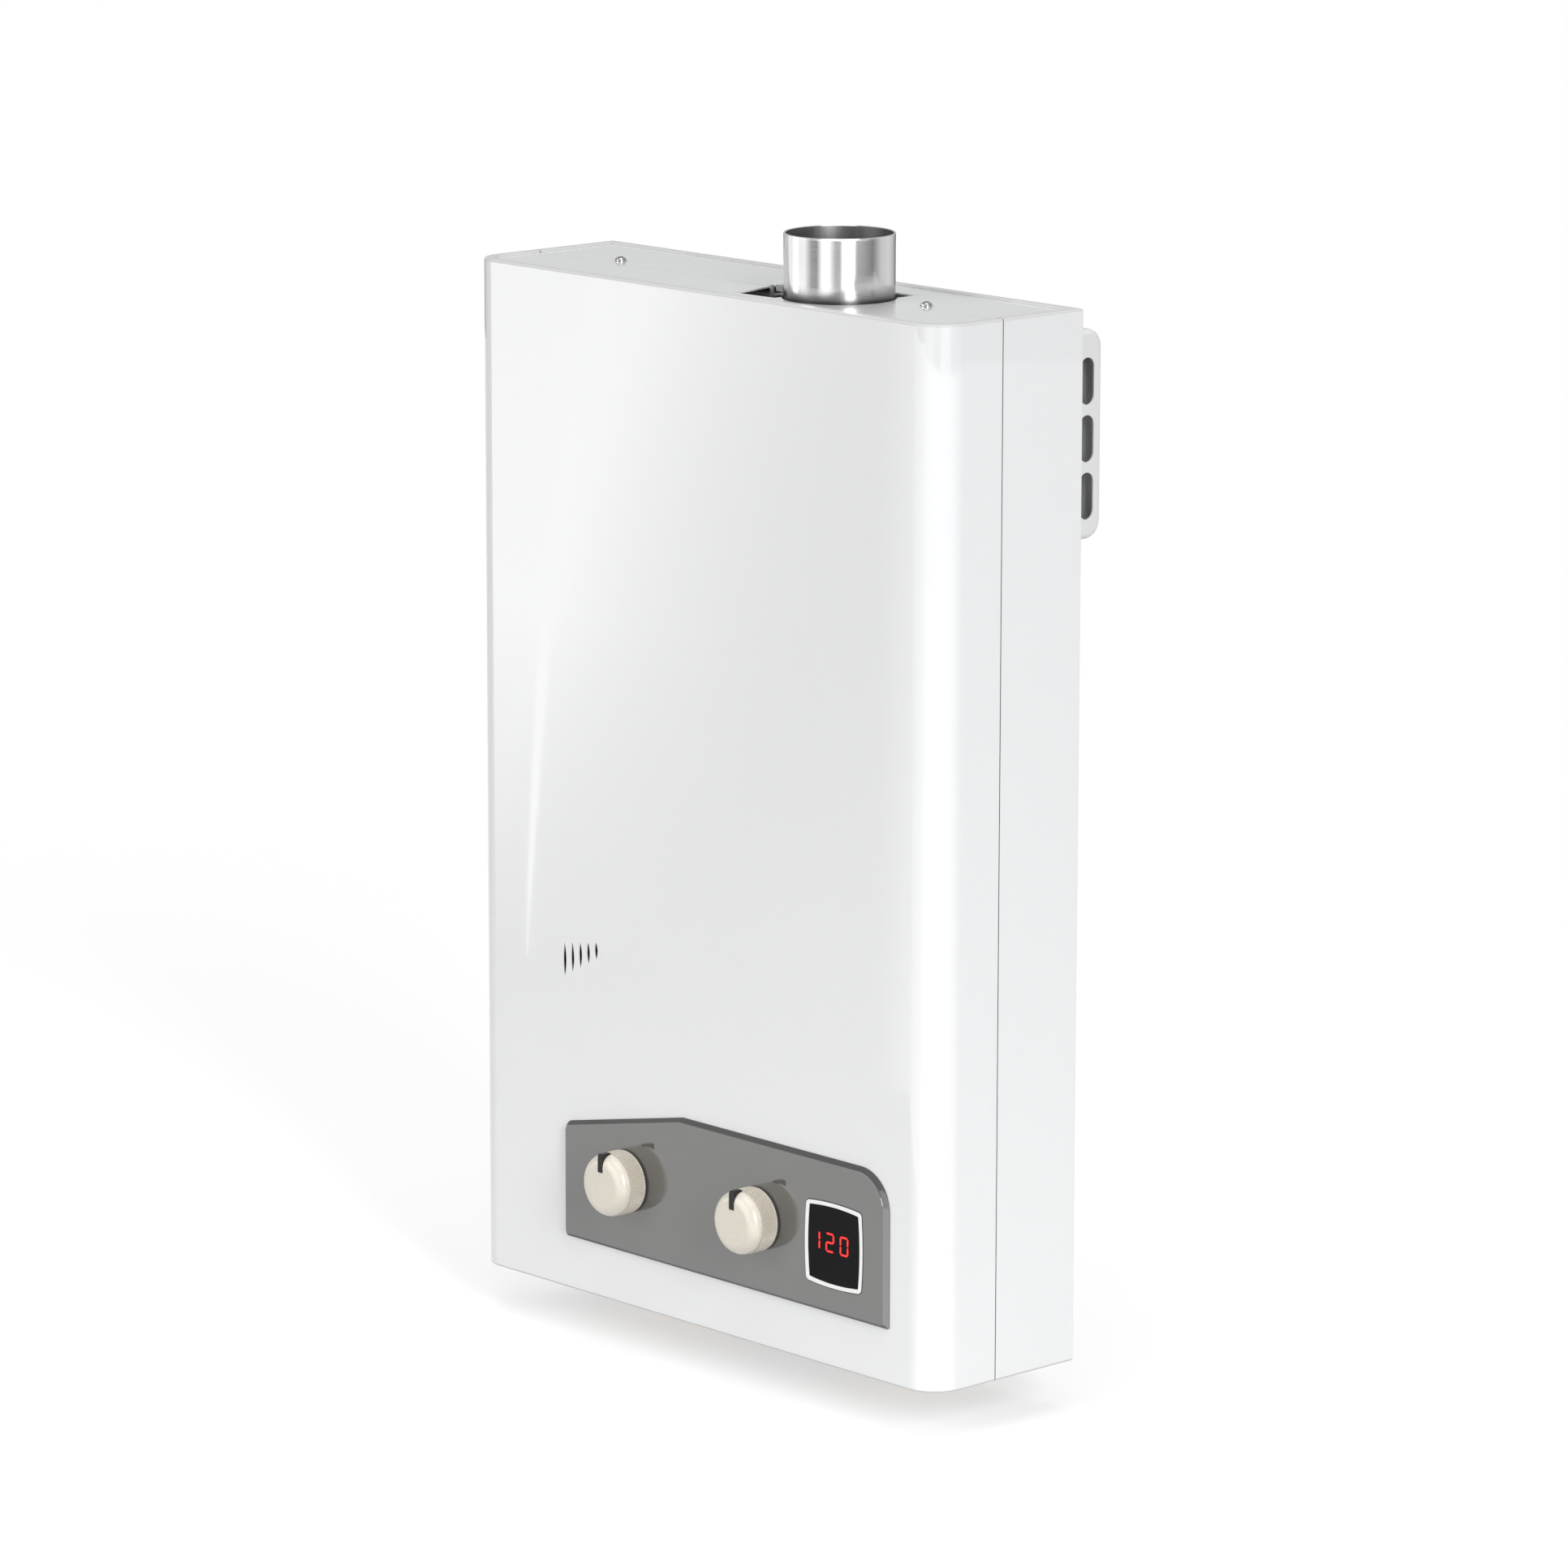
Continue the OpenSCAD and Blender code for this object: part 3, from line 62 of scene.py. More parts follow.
camera.matrix_world = Matrix((
    (0.67875, -0.14971, 0.71895, 2.827556),
    (0.73436, 0.13599, -0.66499, -2.678028),
    (0.00178, 0.97933, 0.20224, 0.589800),
    (0, 0, 0, 1)))
bpy.context.scene.camera = camera
bpy.context.scene.view_settings.view_transform = "Standard"

# Studio
# A white sweep below the hanging heater, soft daylight from all sides, a broad lamp at the front left,
# a tall one at the right and one overhead. Glossy surfaces mirror a greyer room and a brighter floor.


# A shader node with its settings made and its sockets filled, by a value or from another node
def node(tree, kind, sockets, **settings):
    new = tree.nodes.new("ShaderNode" + kind)
    for key, value in settings.items():
        setattr(new, key, value)
    for label, value in sockets.items():
        if isinstance(value, bpy.types.NodeSocket):
            tree.links.new(value, new.inputs[label])
        else:
            new.inputs[label].default_value = value
    return new.outputs


def spread(tree, value, low, high, new_low, new_high):
    return node(tree, "MapRange", {"Value": value, "From Min": low, "From Max": high,
                                   "To Min": new_low, "To Max": new_high})["Result"]


def reckon(tree, operation, first, second, clamp=False):
    return node(tree, "Math", {0: first, 1: second}, operation=operation, use_clamp=clamp)[0]


# A light's strength that changes with the direction in degrees from a point, as the stops say
def by_direction(tree, x, y, stops, most):
    place = node(tree, "SeparateXYZ", {0: node(tree, "NewGeometry", {})["Position"]})
    angle = reckon(tree, "ARCTAN2", reckon(tree, "SUBTRACT", place["Y"], y),
                   reckon(tree, "SUBTRACT", place["X"], x))
    profile = node(tree, "ValToRGB", {"Fac": spread(tree, angle, -math.pi, math.pi, 0, 1)})
    marks = profile["Color"].node.color_ramp.elements
    while len(marks) < len(stops):
        marks.new(0.5)
    for mark, (degrees, level) in zip(marks, stops):
        mark.position = (degrees + 180) / 360
        mark.color = (*[level / most] * 3, 1)
    return reckon(tree, "MULTIPLY", profile["Color"], most)


# A flat screen or wall with an empty material of its own
def screen(name, paint_name, points, faces):
    mesh = bpy.data.meshes.new(name)
    mesh.from_pydata(points, [], faces)
    board = bpy.data.objects.new(name, mesh)
    bpy.context.scene.collection.objects.link(board)
    paint = bpy.data.materials.new(paint_name)
    paint.use_nodes = True
    paint.node_tree.nodes.clear()
    mesh.materials.append(paint)
    return board, paint.node_tree


def lamp(name, place, target, size, power, colour=(1, 1, 1), size_y=None):
    data = bpy.data.lights.new(name, "AREA")
    data.shape = "RECTANGLE"
    data.size = size
    data.size_y = size_y or size
    data.energy = power
    data.color = colour
    light = bpy.data.objects.new(name, data)
    bpy.context.scene.collection.objects.link(light)
    light.location = place
    light.rotation_euler = (Vector(target) - Vector(place)).to_track_quat("-Z", "Y").to_euler()


lamp("front_lamp", (-1.7, -4.1, 1.9), (0, 0, 0), 2.6, 80, (1, 0.995, 0.985))
lamp("right_lamp", (3.7, -1.5, 1.2), (0, 0, 0), 0.9, 112, (0.99, 0.993, 1), size_y=2.2)
lamp("top_lamp", (0.6, -0.4, 3.4), (0, 0, 0), 2.4, 39)

world = bpy.data.worlds.new("studio")
bpy.context.scene.world = world
world.use_nodes = True
tree = world.node_tree
tree.nodes.clear()
ray = node(tree, "LightPath", {})
daylight = node(tree, "Background", {"Color": (0.99, 0.99, 0.985, 1), "Strength": 0.43})
mirrored = node(tree, "Background", {"Color": (0.98, 0.99, 1, 1), "Strength": 0.62})
backdrop = node(tree, "Background", {"Color": (1, 1, 1, 1), "Strength": 1})
room = node(tree, "MixShader", {0: ray["Is Glossy Ray"], 1: daylight[0], 2: mirrored[0]})
seen = node(tree, "MixShader", {0: ray["Is Camera Ray"], 1: room[0], 2: backdrop[0]})
node(tree, "OutputWorld", {"Surface": seen[0]})

# The sweep is white paper, lifted a little for the camera, and plain white further off
floor_half, floor_z = 30, -0.524
floor, tree = screen("floor", "white_sweep", [
    (x * floor_half, y * floor_half, floor_z) for x, y in ((-1, -1), (1, -1), (1, 1), (-1, 1))],
    [(0, 1, 2, 3)])
ray = node(tree, "LightPath", {})
paper = node(tree, "BsdfDiffuse", {"Color": (0.62, 0.62, 0.62, 1)})
lift = node(tree, "Emission", {"Strength": reckon(tree, "MULTIPLY", ray["Is Camera Ray"], 0.5)})
near = node(tree, "AddShader", {0: paper[0], 1: lift[0]})
reach = node(tree, "VectorMath", {0: node(tree, "NewGeometry", {})["Position"]}, operation="LENGTH")["Value"]
far = node(tree, "MapRange", {"Value": reach, "From Min": 0.75, "From Max": 1.6},
           interpolation_type="SMOOTHSTEP")["Result"]
far_white = node(tree, "Emission", {"Strength": ray["Is Camera Ray"]})
sweep = node(tree, "MixShader", {0: far, 1: near[0], 2: far_white[0]})
# Glossy surfaces mirror a fan of light on it instead, brightest towards the camera's side
fan_stops = [(-180, 1), (-118, 1.12), (-100, 1.68), (-92, 2.72), (-20, 2.72), (0, 2.4), (12, 1.76),
             (18, 1.68), (26, 1)]
fan_light = node(tree, "Emission", {"Strength": by_direction(tree, 0.165, -0.107, fan_stops, 4)})
both = node(tree, "MixShader", {0: ray["Is Glossy Ray"], 1: sweep[0], 2: fan_light[0]})
node(tree, "OutputMaterial", {"Surface": both[0]})

# Rear chassis
# The back half of the casing: one 1 mm steel sheet folded into two sides and a back, with its top and
# bottom edges turned in as rims, under glossy white enamel. A joggled strip inside each side laps the
# front cover. The back has a hole round the fan motor and six upright air slots.
case_r, case_h, case_d = 184.15, 565, 104
sheet, rim, bend = 1, 5, 1.15
seam_front, seam_rear = 45.2, 45.8
hang_z, wall_y = 496.8, 126
edge_band = 1.2
strip_out = 182.95
strip = [(181.95, 37.2), (strip_out, 37.2), (strip_out, 45.8), (183.5, 45.8), (183.5, 48.8), (181.95, 48.8)]
motor_x, motor_z, motor_hole_r = 40, 492, 31
slot_count, slot_x, slot_pitch, slot_w, slot_h = 6, -150, 15, 6, 60


def arc(cx, cy, radius, start, stop, steps):
    angles = [math.radians(start + (stop - start) * i / steps) for i in range(steps + 1)]
    return [(cx + radius * math.cos(a), cy + radius * math.sin(a)) for a in angles]


# Faces between rings of points: closed by a face at both ends, or back to the first ring when hollow
def loft(bm, rings, hollow=False):
    rows = [[bm.verts.new(point) for point in points] for points in rings]
    if not hollow:
        bm.faces.new(rows[0])
        bm.faces.new(rows[-1])
    count = len(rings[0])
    for low, high in zip(rows, rows[1:] + (rows[:1] if hollow else [])):
        for i in range(count):
            j = (i + 1) % count
            bm.faces.new((low[i], low[j], high[j], high[i]))
    return rows


LAY = {"x": lambda a, b, c: (c, a, b), "y": lambda a, b, c: (a, c, b), "z": lambda a, b, c: (a, b, c)}


def prism(bm, outline, axis, low, high):
    loft(bm, [[LAY[axis](a, b, c) for a, b in outline] for c in (low, high)])


def block(bm, low, high):
    corners = [(low[0], low[1]), (high[0], low[1]), (high[0], high[1]), (low[0], high[1])]
    prism(bm, corners, "z", low[2], high[2])


# A piece from built mesh parts: touching points are merged and the faces turned outwards
def made(name, bm, *paints):
    bmesh.ops.remove_doubles(bm, verts=bm.verts, dist=0.0005)
    bmesh.ops.recalc_face_normals(bm, faces=bm.faces)
    mesh = bpy.data.meshes.new(name)
    bm.to_mesh(mesh)
    bm.free()
    for paint in paints:
        mesh.materials.append(paint)
    piece = bpy.data.objects.new(name, mesh)
    bpy.context.scene.collection.objects.link(piece)
    return piece


def settle(piece):
    bpy.context.view_layer.update()
    evaluated = piece.evaluated_get(bpy.context.evaluated_depsgraph_get())
    finished = bpy.data.meshes.new_from_object(evaluated)
    piece.modifiers.clear()
    piece.data = finished


def cut(piece, bm):
    tool = made("tool", bm)
    step = piece.modifiers.new("cut", "BOOLEAN")
    step.operation = "DIFFERENCE"
    step.solver = "EXACT"
    step.object = tool
    settle(piece)
    bpy.data.objects.remove(tool)


def soften(piece, width, segments=2, angle=40):
    step = piece.modifiers.new("soften", "BEVEL")
    step.width = width
    step.segments = segments
    step.limit_method = "ANGLE"
    step.angle_limit = math.radians(angle)
    settle(piece)


# Moves a finished piece from the heater's millimetres to its place on the wall, and shades it
def hang(piece, body, slot, *stands_for, crease=32):
    mesh = piece.data
    mesh.transform(Matrix.Scale(0.001, 4) @ Matrix.Translation((0, -wall_y, -hang_z)))
    bm = bmesh.new()
    bm.from_mesh(mesh)
    for face in bm.faces:
        face.smooth = True
    for edge in bm.edges:
        edge.smooth = len(edge.link_faces) == 2 and edge.calc_face_angle(0) < math.radians(crease)
    bm.to_mesh(mesh)
    bm.free()
    even = piece.modifiers.new("even", "WEIGHTED_NORMAL")
    even.keep_sharp = True
    settle(piece)
    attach(piece, body)
    if stands_for:
        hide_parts(*stands_for)


# The socket that an argument names: coat_ior is Coat IOR
def label_of(key):
    return key.replace("_", " ").title().replace("Ior", "IOR")


# A layer group's inputs come with their usual values: four numbers make a colour, three a vector
def new_group(name, **inputs):
    tree = bpy.data.node_groups.new(name, "ShaderNodeTree")
    for key, value in inputs.items():
        kind = "Float" if isinstance(value, float) else {3: "Vector", 4: "Color"}[len(value)]
        socket = tree.interface.new_socket(label_of(key), in_out="INPUT", socket_type="NodeSocket" + kind)
        socket.default_value = value
    for label, kind in (("Colour", "Color"), ("Roughness", "Float"), ("Normal", "Vector")):
        tree.interface.new_socket(label, in_out="OUTPUT", socket_type="NodeSocket" + kind)
    return tree, tree.nodes.new("NodeGroupInput").outputs


def close_group(tree, colour, roughness, normal):
    out = tree.nodes.new("NodeGroupOutput")
    for label, value in (("Colour", colour), ("Roughness", roughness), ("Normal", normal)):
        tree.links.new(value, out.inputs[label])


def object_place(tree):
    return node(tree, "TexCoord", {})["Object"]


def noise(tree, scale, detail, place=None):
    if place is None:
        place = object_place(tree)
    return node(tree, "TexNoise", {"Scale": scale, "Detail": detail, "Vector": place})["Fac"]


def blend_colour(tree, share, first, second):
    return node(tree, "Mix", {0: share, 6: first, 7: second}, data_type="RGBA")[2]


# A bump, laid over another one's Normal where that is given
def bump(tree, height, strength, distance, **under):
    sockets = {"Height": height, "Strength": strength, "Distance": distance, **under}
    return node(tree, "Bump", sockets)["Normal"]


# Enamel baked on sheet steel: orange peel, the sheet's own slow waves, and dust on what faces up
skin, given = new_group("enamel_skin", colour=(0.8, 0.8, 0.8, 1), dust_colour=(0.55, 0.53, 0.5, 1),
    roughness=0.08, peel=0.2, waves=0.3, dust=0.2)
facing = node(skin, "SeparateXYZ", {0: node(skin, "NewGeometry", {})["Normal"]})["Z"]
dusty = reckon(skin, "MULTIPLY", spread(skin, facing, 0.2, 1, 0, 1),
               spread(skin, noise(skin, 55, 4), 0.35, 0.75, 0, 1), clamp=True)
dusty = reckon(skin, "MULTIPLY", dusty, given["Dust"], clamp=True)
rubbed = reckon(skin, "ADD", given["Roughness"], spread(skin, noise(skin, 11, 3), 0.3, 0.7, -0.012, 0.02))
peel = bump(skin, noise(skin, 650, 1), given["Peel"], 0.00002)
close_group(skin, blend_colour(skin, dusty, given["Colour"], given["Dust Colour"]),
            reckon(skin, "ADD", rubbed, reckon(skin, "MULTIPLY", dusty, 0.4)),
            bump(skin, noise(skin, 5.5, 0), given["Waves"], 0.0012, Normal=peel))


# A material from one of the layer groups. Each value goes to the group's input of that name, or else
# to the shader's own
def finish(name, layer, **values):
    paint = bpy.data.materials.new(name)
    paint.use_nodes = True
    tree = paint.node_tree
    shader = tree.nodes["Principled BSDF"]
    surface = tree.nodes.new("ShaderNodeGroup")
    surface.node_tree = layer
    for key, value in values.items():
        label = label_of(key)
        socket = (surface if label in surface.inputs else shader).inputs[label]
        if socket.type == "RGBA":
            value = (*value, 1)
        elif socket.type == "VECTOR" and isinstance(value, (int, float)):
            value = (value,) * 3
        socket.default_value = value
    for output, label in (("Colour", "Base Color"), ("Roughness", "Roughness"), ("Normal", "Normal")):
        tree.links.new(surface.outputs[output], shader.inputs[label])
    return paint


enamel = finish("white_enamel", skin, colour=(0.83, 0.835, 0.84), roughness=0.03, peel=0.02, waves=0.05,
    dust=0.12, ior=1.5, coat_weight=0.35, coat_roughness=0.02)

# The folded edges are painted a little greyer, as painted shade on the rims, and are duller
rim_shade_enamel = finish("rim_shade_enamel", skin, colour=(0.63, 0.633, 0.636), roughness=0.3, peel=0.1, waves=0,
    dust=0.2, ior=1.5, specular_ior_level=0.25)
# The dark seam paint is painted shade: it darkens the gap between cover and chassis and the lap strip seen
# through it
seam_shade_paint = finish("seam_painted_shade", skin, colour=(0.30, 0.30, 0.302), dust_colour=(0.10, 0.095, 0.09),
    roughness=0.5, peel=0.1, waves=0, dust=0.4, ior=1.5)


# One closed loop round the sheet's thickness: distance in from the outer face, and height
def sheet_section():
    inner = bend - sheet
    return (arc(bend, bend, bend, 270, 180, 5) + arc(bend, case_h - bend, bend, 180, 90, 5)
            + [(sheet + rim, case_h), (sheet + rim, case_h - sheet)]
            + arc(bend, case_h - bend, inner, 90, 180, 3) + arc(bend, bend, inner, 180, 270, 3)
            + [(sheet + rim, sheet), (sheet + rim, 0)])


# Stations along the fold: where the sheet's outer face is, moved in by n
def along(x, y, dx, dy):
    return lambda n: (x + dx * n, y + dy * n)


def round_corner(cx, cy, radius, start, stop, steps, sx, sy):
    def station(a):
        def moved_in(n):
            if n > radius:
                return (cx + sx * (radius - n), cy + sy * (radius - n))
            return (cx + (radius - n) * math.cos(a), cy + (radius - n) * math.sin(a))
        return moved_in
    return [station(math.radians(start + (stop - start) * i / steps)) for i in range(steps + 1)]


def folded(bm, stations):
    loft(bm, [[(*station(n), z) for n, z in sheet_section()] for station in stations])


def round_slot(x, z, w, h):
    r = w / 2
    return arc(x, z + h / 2 - r, r, 0, 180, 12) + arc(x, z - h / 2 + r, r, 180, 360, 12)


# Whether a face of the shell lies on its folded top or bottom edge
def on_edge(face):
    return abs(face.center.z - case_h / 2) > case_h / 2 - edge_band


bm = bmesh.new()
folded(bm, [along(case_r, seam_rear, -1, 0)]
       + round_corner(case_r - bend, case_d - bend, bend, 0, 90, 5, 1, 1)
       + round_corner(bend - case_r, case_d - bend, bend, 90, 180, 5, -1, 1)
       + [along(-case_r, seam_rear, 1, 0)])
for side in (-1, 1):
    prism(bm, [(side * x, y) for x, y in strip], "z", 6, case_h - 6)
chassis = made("rear_chassis_shell", bm, enamel, seam_shade_paint, rim_shade_enamel)
# Faces in the seam and the lap strip's outer face take the dark seam paint, a painted shade
for face in chassis.data.polygons:
    x, y, z = face.center
    if abs(y - seam_rear) < 0.2 or (abs(abs(x) - strip_out) < 0.01 and y < seam_rear):
        face.material_index = 1
    # The folded top and bottom edges take the greyer rim paint, a painted shade
    elif on_edge(face):
        face.material_index = 2
bm = bmesh.new()
prism(bm, arc(motor_x, motor_z, motor_hole_r, 0, 354, 59), "y", case_d - 6, case_d + 2)
for i in range(slot_count):
    prism(bm, round_slot(slot_x + slot_pitch * i, hang_z, slot_w, slot_h), "y", case_d - 6, case_d + 2)
cut(chassis, bm)
soften(chassis, 0.22)
hang(chassis, "casing", "white_enamel", "rear_chassis")

# Wall hanger and lower tab
# A stand-off channel of white enamelled steel welded to the back, closed at its ends. Each end has
# three air slots, and two keyholes in its rear face take the wall screws. A folded tab with one
# screw hole holds the lower edge to the wall.
hanger_top, hanger_h, hanger_r, hanger_half = 552.3, 111, 10, 176.5
roll, roll_steps = 3.2, (0, 22.5, 45, 67.5, 90)
vent_y, vent_z, vent_pitch, vent_w, vent_h = case_d + 10.65, hang_z - 2, 30.3, 10, 24.8
keyhole_x, keyhole_r, keyhole_rise, neck_r = 100, 6, 10.8, 3.2
weld_in, weld_h = 12, 9


def hanger_ring(x, m, front=case_d):
    y = wall_y - hanger_r
    low = hanger_top - hanger_h
    outline = ([(front, low + m)] + arc(y, low + hanger_r, hanger_r - m, 270, 360, 8)
               + arc(y, hanger_top - hanger_r, hanger_r - m, 0, 90, 8) + [(front, hanger_top - m)])
    return [(x, a, b) for a, b in outline]


# A greyer copy of the white enamel, as painted shade on the hanger and the lower tab at the back of the
# casing
hanger_shaded_enamel = finish("hanger_shaded_enamel", skin, colour=(0.74, 0.743, 0.746), roughness=0.2, peel=0.2,
    waves=0.3, dust=0.25, ior=1.5, coat_weight=0.2, coat_roughness=0.1)
bm = bmesh.new()
ends = [(roll * (1 - math.sin(a)), roll * (1 - math.cos(a))) for a in map(math.radians, roll_steps)]
loft(bm, [hanger_ring(side * (hanger_half - x), m)
          for side, steps in ((-1, ends), (1, ends[::-1])) for m, x in steps])
hanger = made("wall_hanger", bm, hanger_shaded_enamel)
bm = bmesh.new()
loft(bm, [hanger_ring(x, sheet, case_d - 2) for x in (sheet - hanger_half, hanger_half - sheet)])
cut(hanger, bm)
bm = bmesh.new()
for i in (-1, 0, 1):
    vent = round_slot(vent_y, vent_z + vent_pitch * i, vent_w, vent_h)
    prism(bm, vent, "x", -hanger_half - 2, hanger_half + 2)
for x in (-keyhole_x, keyhole_x):
    keyhole = arc(x, hang_z, keyhole_r, -238, 58, 30) + arc(x, hang_z + keyhole_rise, neck_r, 0, 180, 12)
    prism(bm, keyhole, "y", wall_y - 3, wall_y + 2)
cut(hanger, bm)
bm = bmesh.new()
bm.from_mesh(hanger.data)
for z in (hanger_top - 1, hanger_top - hanger_h - weld_h + 1):
    block(bm, (weld_in - hanger_half, case_d, z), (hanger_half - weld_in, case_d + sheet, z + weld_h))
bm.to_mesh(hanger.data)
bm.free()
soften(hanger, 0.3)
hang(hanger, "casing", "white_enamel", "rear_hanger")

tab_half, tab_rear, tab_t = 14, wall_y, 1.5
tab_section = ([(case_d, 30), (case_d + tab_t, 30)] + arc(case_d + 3, 7, 3 - tab_t, 180, 270, 4)
               + arc(tab_rear - 2.5, 3, 2.5, 90, 0, 4) + [(tab_rear, -18), (tab_rear - tab_t, -18)]
               + arc(tab_rear - 2.5, 3, 2.5 - tab_t, 0, 90, 4) + arc(case_d + 3, 7, 3, 270, 180, 4))
bm = bmesh.new()
prism(bm, tab_section, "x", -tab_half, tab_half)
tab = made("lower_tab", bm, hanger_shaded_enamel)
bm = bmesh.new()
prism(bm, arc(0, -10, 3.25, 0, 348, 29), "y", tab_rear - 6, tab_rear + 2)
for x in (-8, 8):
    prism(bm, arc(x, 18, 2, 0, 345, 23), "y", case_d - 2, case_d + 6)
cut(tab, bm)
soften(tab, 0.3)
hang(tab, "casing", "white_enamel", "lower_wall_tab")

# Bottom and top plates
# Four flat plates of white enamelled steel close the casing under its rims, two to the cover and two to
# the chassis, with tongues under the screws. The top pair leaves an opening round the flue collar.
plate_enamel = finish("plate_enamel", skin, colour=(0.76, 0.763, 0.766), roughness=0.06, peel=0.04,
    waves=0.12, dust=0.1, ior=1.5, coat_weight=0.5, coat_roughness=0.03)


def recoat(paint, *names):
    for name in names:
        for holder in nodes[name].material_slots:
            holder.material = paint


recoat(plate_enamel, "cover_top_plate", "chassis_top_plate", "cover_bottom_plate", "chassis_bottom_plate")

# Pipe stubs and cable gland
# Brass stubs with half inch pipe threads stand out below for cold water, hot water and gas, each held
# by a chamfered hexagon nut on both sides of the bottom plate. A black plastic gland takes the cable.

# The grain and colour play of one metal or plastic: fine noise stretched along its lay, and clouds of a
# second colour
grain, given = new_group("surface_grain", colour=(0.5, 0.5, 0.5, 1), second_colour=(0.4, 0.4, 0.4, 1),
    lay=(400, 400, 400), clouds=30.0, roughness=0.4, bump=0.2)
stretched = node(grain, "VectorMath", {0: object_place(grain), 1: given["Lay"]}, operation="MULTIPLY")[0]
fine = noise(grain, 1, 3, stretched)
clouds = noise(grain, given["Clouds"], 4)
mottle = reckon(grain, "ADD", spread(grain, clouds, 0.35, 0.7, 0, 0.75),
                spread(grain, fine, 0.3, 0.7, -0.1, 0.25), clamp=True)
uneven = reckon(grain, "ADD", spread(grain, fine, 0.3, 0.7, -0.05, 0.06),
                spread(grain, clouds, 0.3, 0.7, -0.04, 0.06))
close_group(grain, blend_colour(grain, mottle, given["Colour"], given["Second Colour"]),
            reckon(grain, "ADD", given["Roughness"], uneven, clamp=True),
            bump(grain, fine, given["Bump"], 0.00006))

brass = finish("bright_brass", grain, colour=(0.74, 0.52, 0.24), second_colour=(0.55, 0.36, 0.15), lay=900,
    clouds=60, roughness=0.27, bump=0.15, metallic=1)
black_plastic = finish("black_plastic", grain, colour=(0.018, 0.018, 0.019),
    second_colour=(0.035, 0.034, 0.033), lay=1500, clouds=40, roughness=0.42, bump=0.35, ior=1.5)
stub_y, stub_d, stub_l, nut_w, deck = 80, 21.3, 27, 30, 1.8
thread_pitch, thread_deep, bore_r = 1.814, 1.05, 6.5
gland_x, gland_r, gland_l, gland_w = 140, 9, 14, 24


def ring(x, y, z, radius, steps=64):
    points = []
    for i in range(steps):
        a = 2 * math.pi * i / steps
        r = radius(a) if callable(radius) else radius
        points.append((x + r * math.cos(a), y + r * math.sin(a), z))
    return points


# The radius of a hexagon round the turn, its corners cut back to a limit
def hexagon(across, limit):
    def radius(a):
        from_flat = (a + math.pi / 6) % (math.pi / 3) - math.pi / 6
        return min(across / 2 / math.cos(from_flat), limit)
    return radius


def nut(bm, x, y, across, low, high):
    corner, crown = across / 2 / math.cos(math.pi / 6), across / 2 * 0.98
    middle, fall = (corner + crown) / 2, (corner - crown) * 0.6
    loft(bm, [ring(x, y, z, hexagon(across, limit), 72) for z, limit in (
        (low, crown), (low + fall / 2, middle), (low + fall, corner),
        (high - fall, corner), (high - fall / 2, middle), (high, crown))])


def threaded(bm, x, y, radius, deep, pitch, low, high, bore, bore_top):
    rows = []
    count = int((high - low) / pitch * 8)
    for k in range(count + 1):
        z = low + (high - low) * k / count
        fade = min(1, (z - low) / pitch * 0.8, (high - z) / pitch)

        def crest(a, z=z, fade=fade):
            turn = (z / pitch - a / 2 / math.pi) % 1
            return radius - deep * (1 - fade * (1 - min(1, abs(2 * turn - 1) * 1.15)))
        rows.append(ring(x, y, z, crest))
    inside = [ring(x, y, z, r) for z, r in (
        (bore_top, bore), (low + 0.6, bore), (low, bore + 0.6), (low, radius - deep - 0.5))]
    loft(bm, inside + rows + [ring(x, y, z, radius - 0.6) for z in (high + 0.5, bore_top + 1)])


for name, x, top in (("cold_inlet", 92, 30), ("hot_outlet", -98, 30), ("gas_inlet", -54.2, 44)):
    bm = bmesh.new()
    threaded(bm, x, stub_y, stub_d / 2, thread_deep, thread_pitch, -stub_l, -6, bore_r, deck + 6)
    nut(bm, x, stub_y, nut_w, -5, 1)
    nut(bm, x, stub_y, nut_w, deck, deck + 6)
    loft(bm, [ring(x, stub_y, z, r, 48) for z, r in ((deck + 5.5, 10), (top - 0.8, 10), (top, 9.3))])
    hang(made(name + "_stub", bm, brass), "casing", "brass", name + "_fitting", crease=38)

bm = bmesh.new()
threaded(bm, gland_x, stub_y, gland_r, 0.01, 2, -gland_l, -6, 4, deck + 8)
loft(bm, [ring(gland_x, stub_y, z, lambda a, r=r: r + (0.35 if math.cos(16 * a) > 0 else 0), 96)
          for z, r in ((-13.5, 7.6), (-12.6, 8.4), (-6.4, 8.6), (-6.2, 8.4))])
nut(bm, gland_x, stub_y, gland_w, -6, 1)
nut(bm, gland_x, stub_y, gland_w, deck, deck + 5)
hang(made("cable_gland", bm, black_plastic), "casing", "black_plastic", "power_gland", crease=38)

# Valves
# The gas valve is a cast aluminium block with a solenoid on top, and the water valve a brass casting
# with a rubber diaphragm between its halves. Their brass spindles carry the knobs, and the diaphragm's
# rod runs across from one to the other through a return spring.
cast = finish("cast_aluminium", grain, colour=(0.56, 0.57, 0.58), second_colour=(0.42, 0.42, 0.43), lay=700,
    clouds=45, roughness=0.5, bump=0.6, metallic=1)
cast_brass = finish("cast_brass", grain, colour=(0.62, 0.42, 0.2), second_colour=(0.46, 0.29, 0.14), lay=600,
    clouds=38, roughness=0.42, bump=0.7, metallic=1)
turned_brass = finish("turned_brass", grain, colour=(0.76, 0.55, 0.26), second_colour=(0.6, 0.41, 0.18),
    lay=(150, 2600, 150), clouds=50, roughness=0.22, bump=0.2, metallic=1)
zinc = finish("zinc_plate", grain, colour=(0.62, 0.63, 0.64), second_colour=(0.48, 0.49, 0.51), lay=350,
    clouds=90, roughness=0.32, bump=0.12, metallic=1)
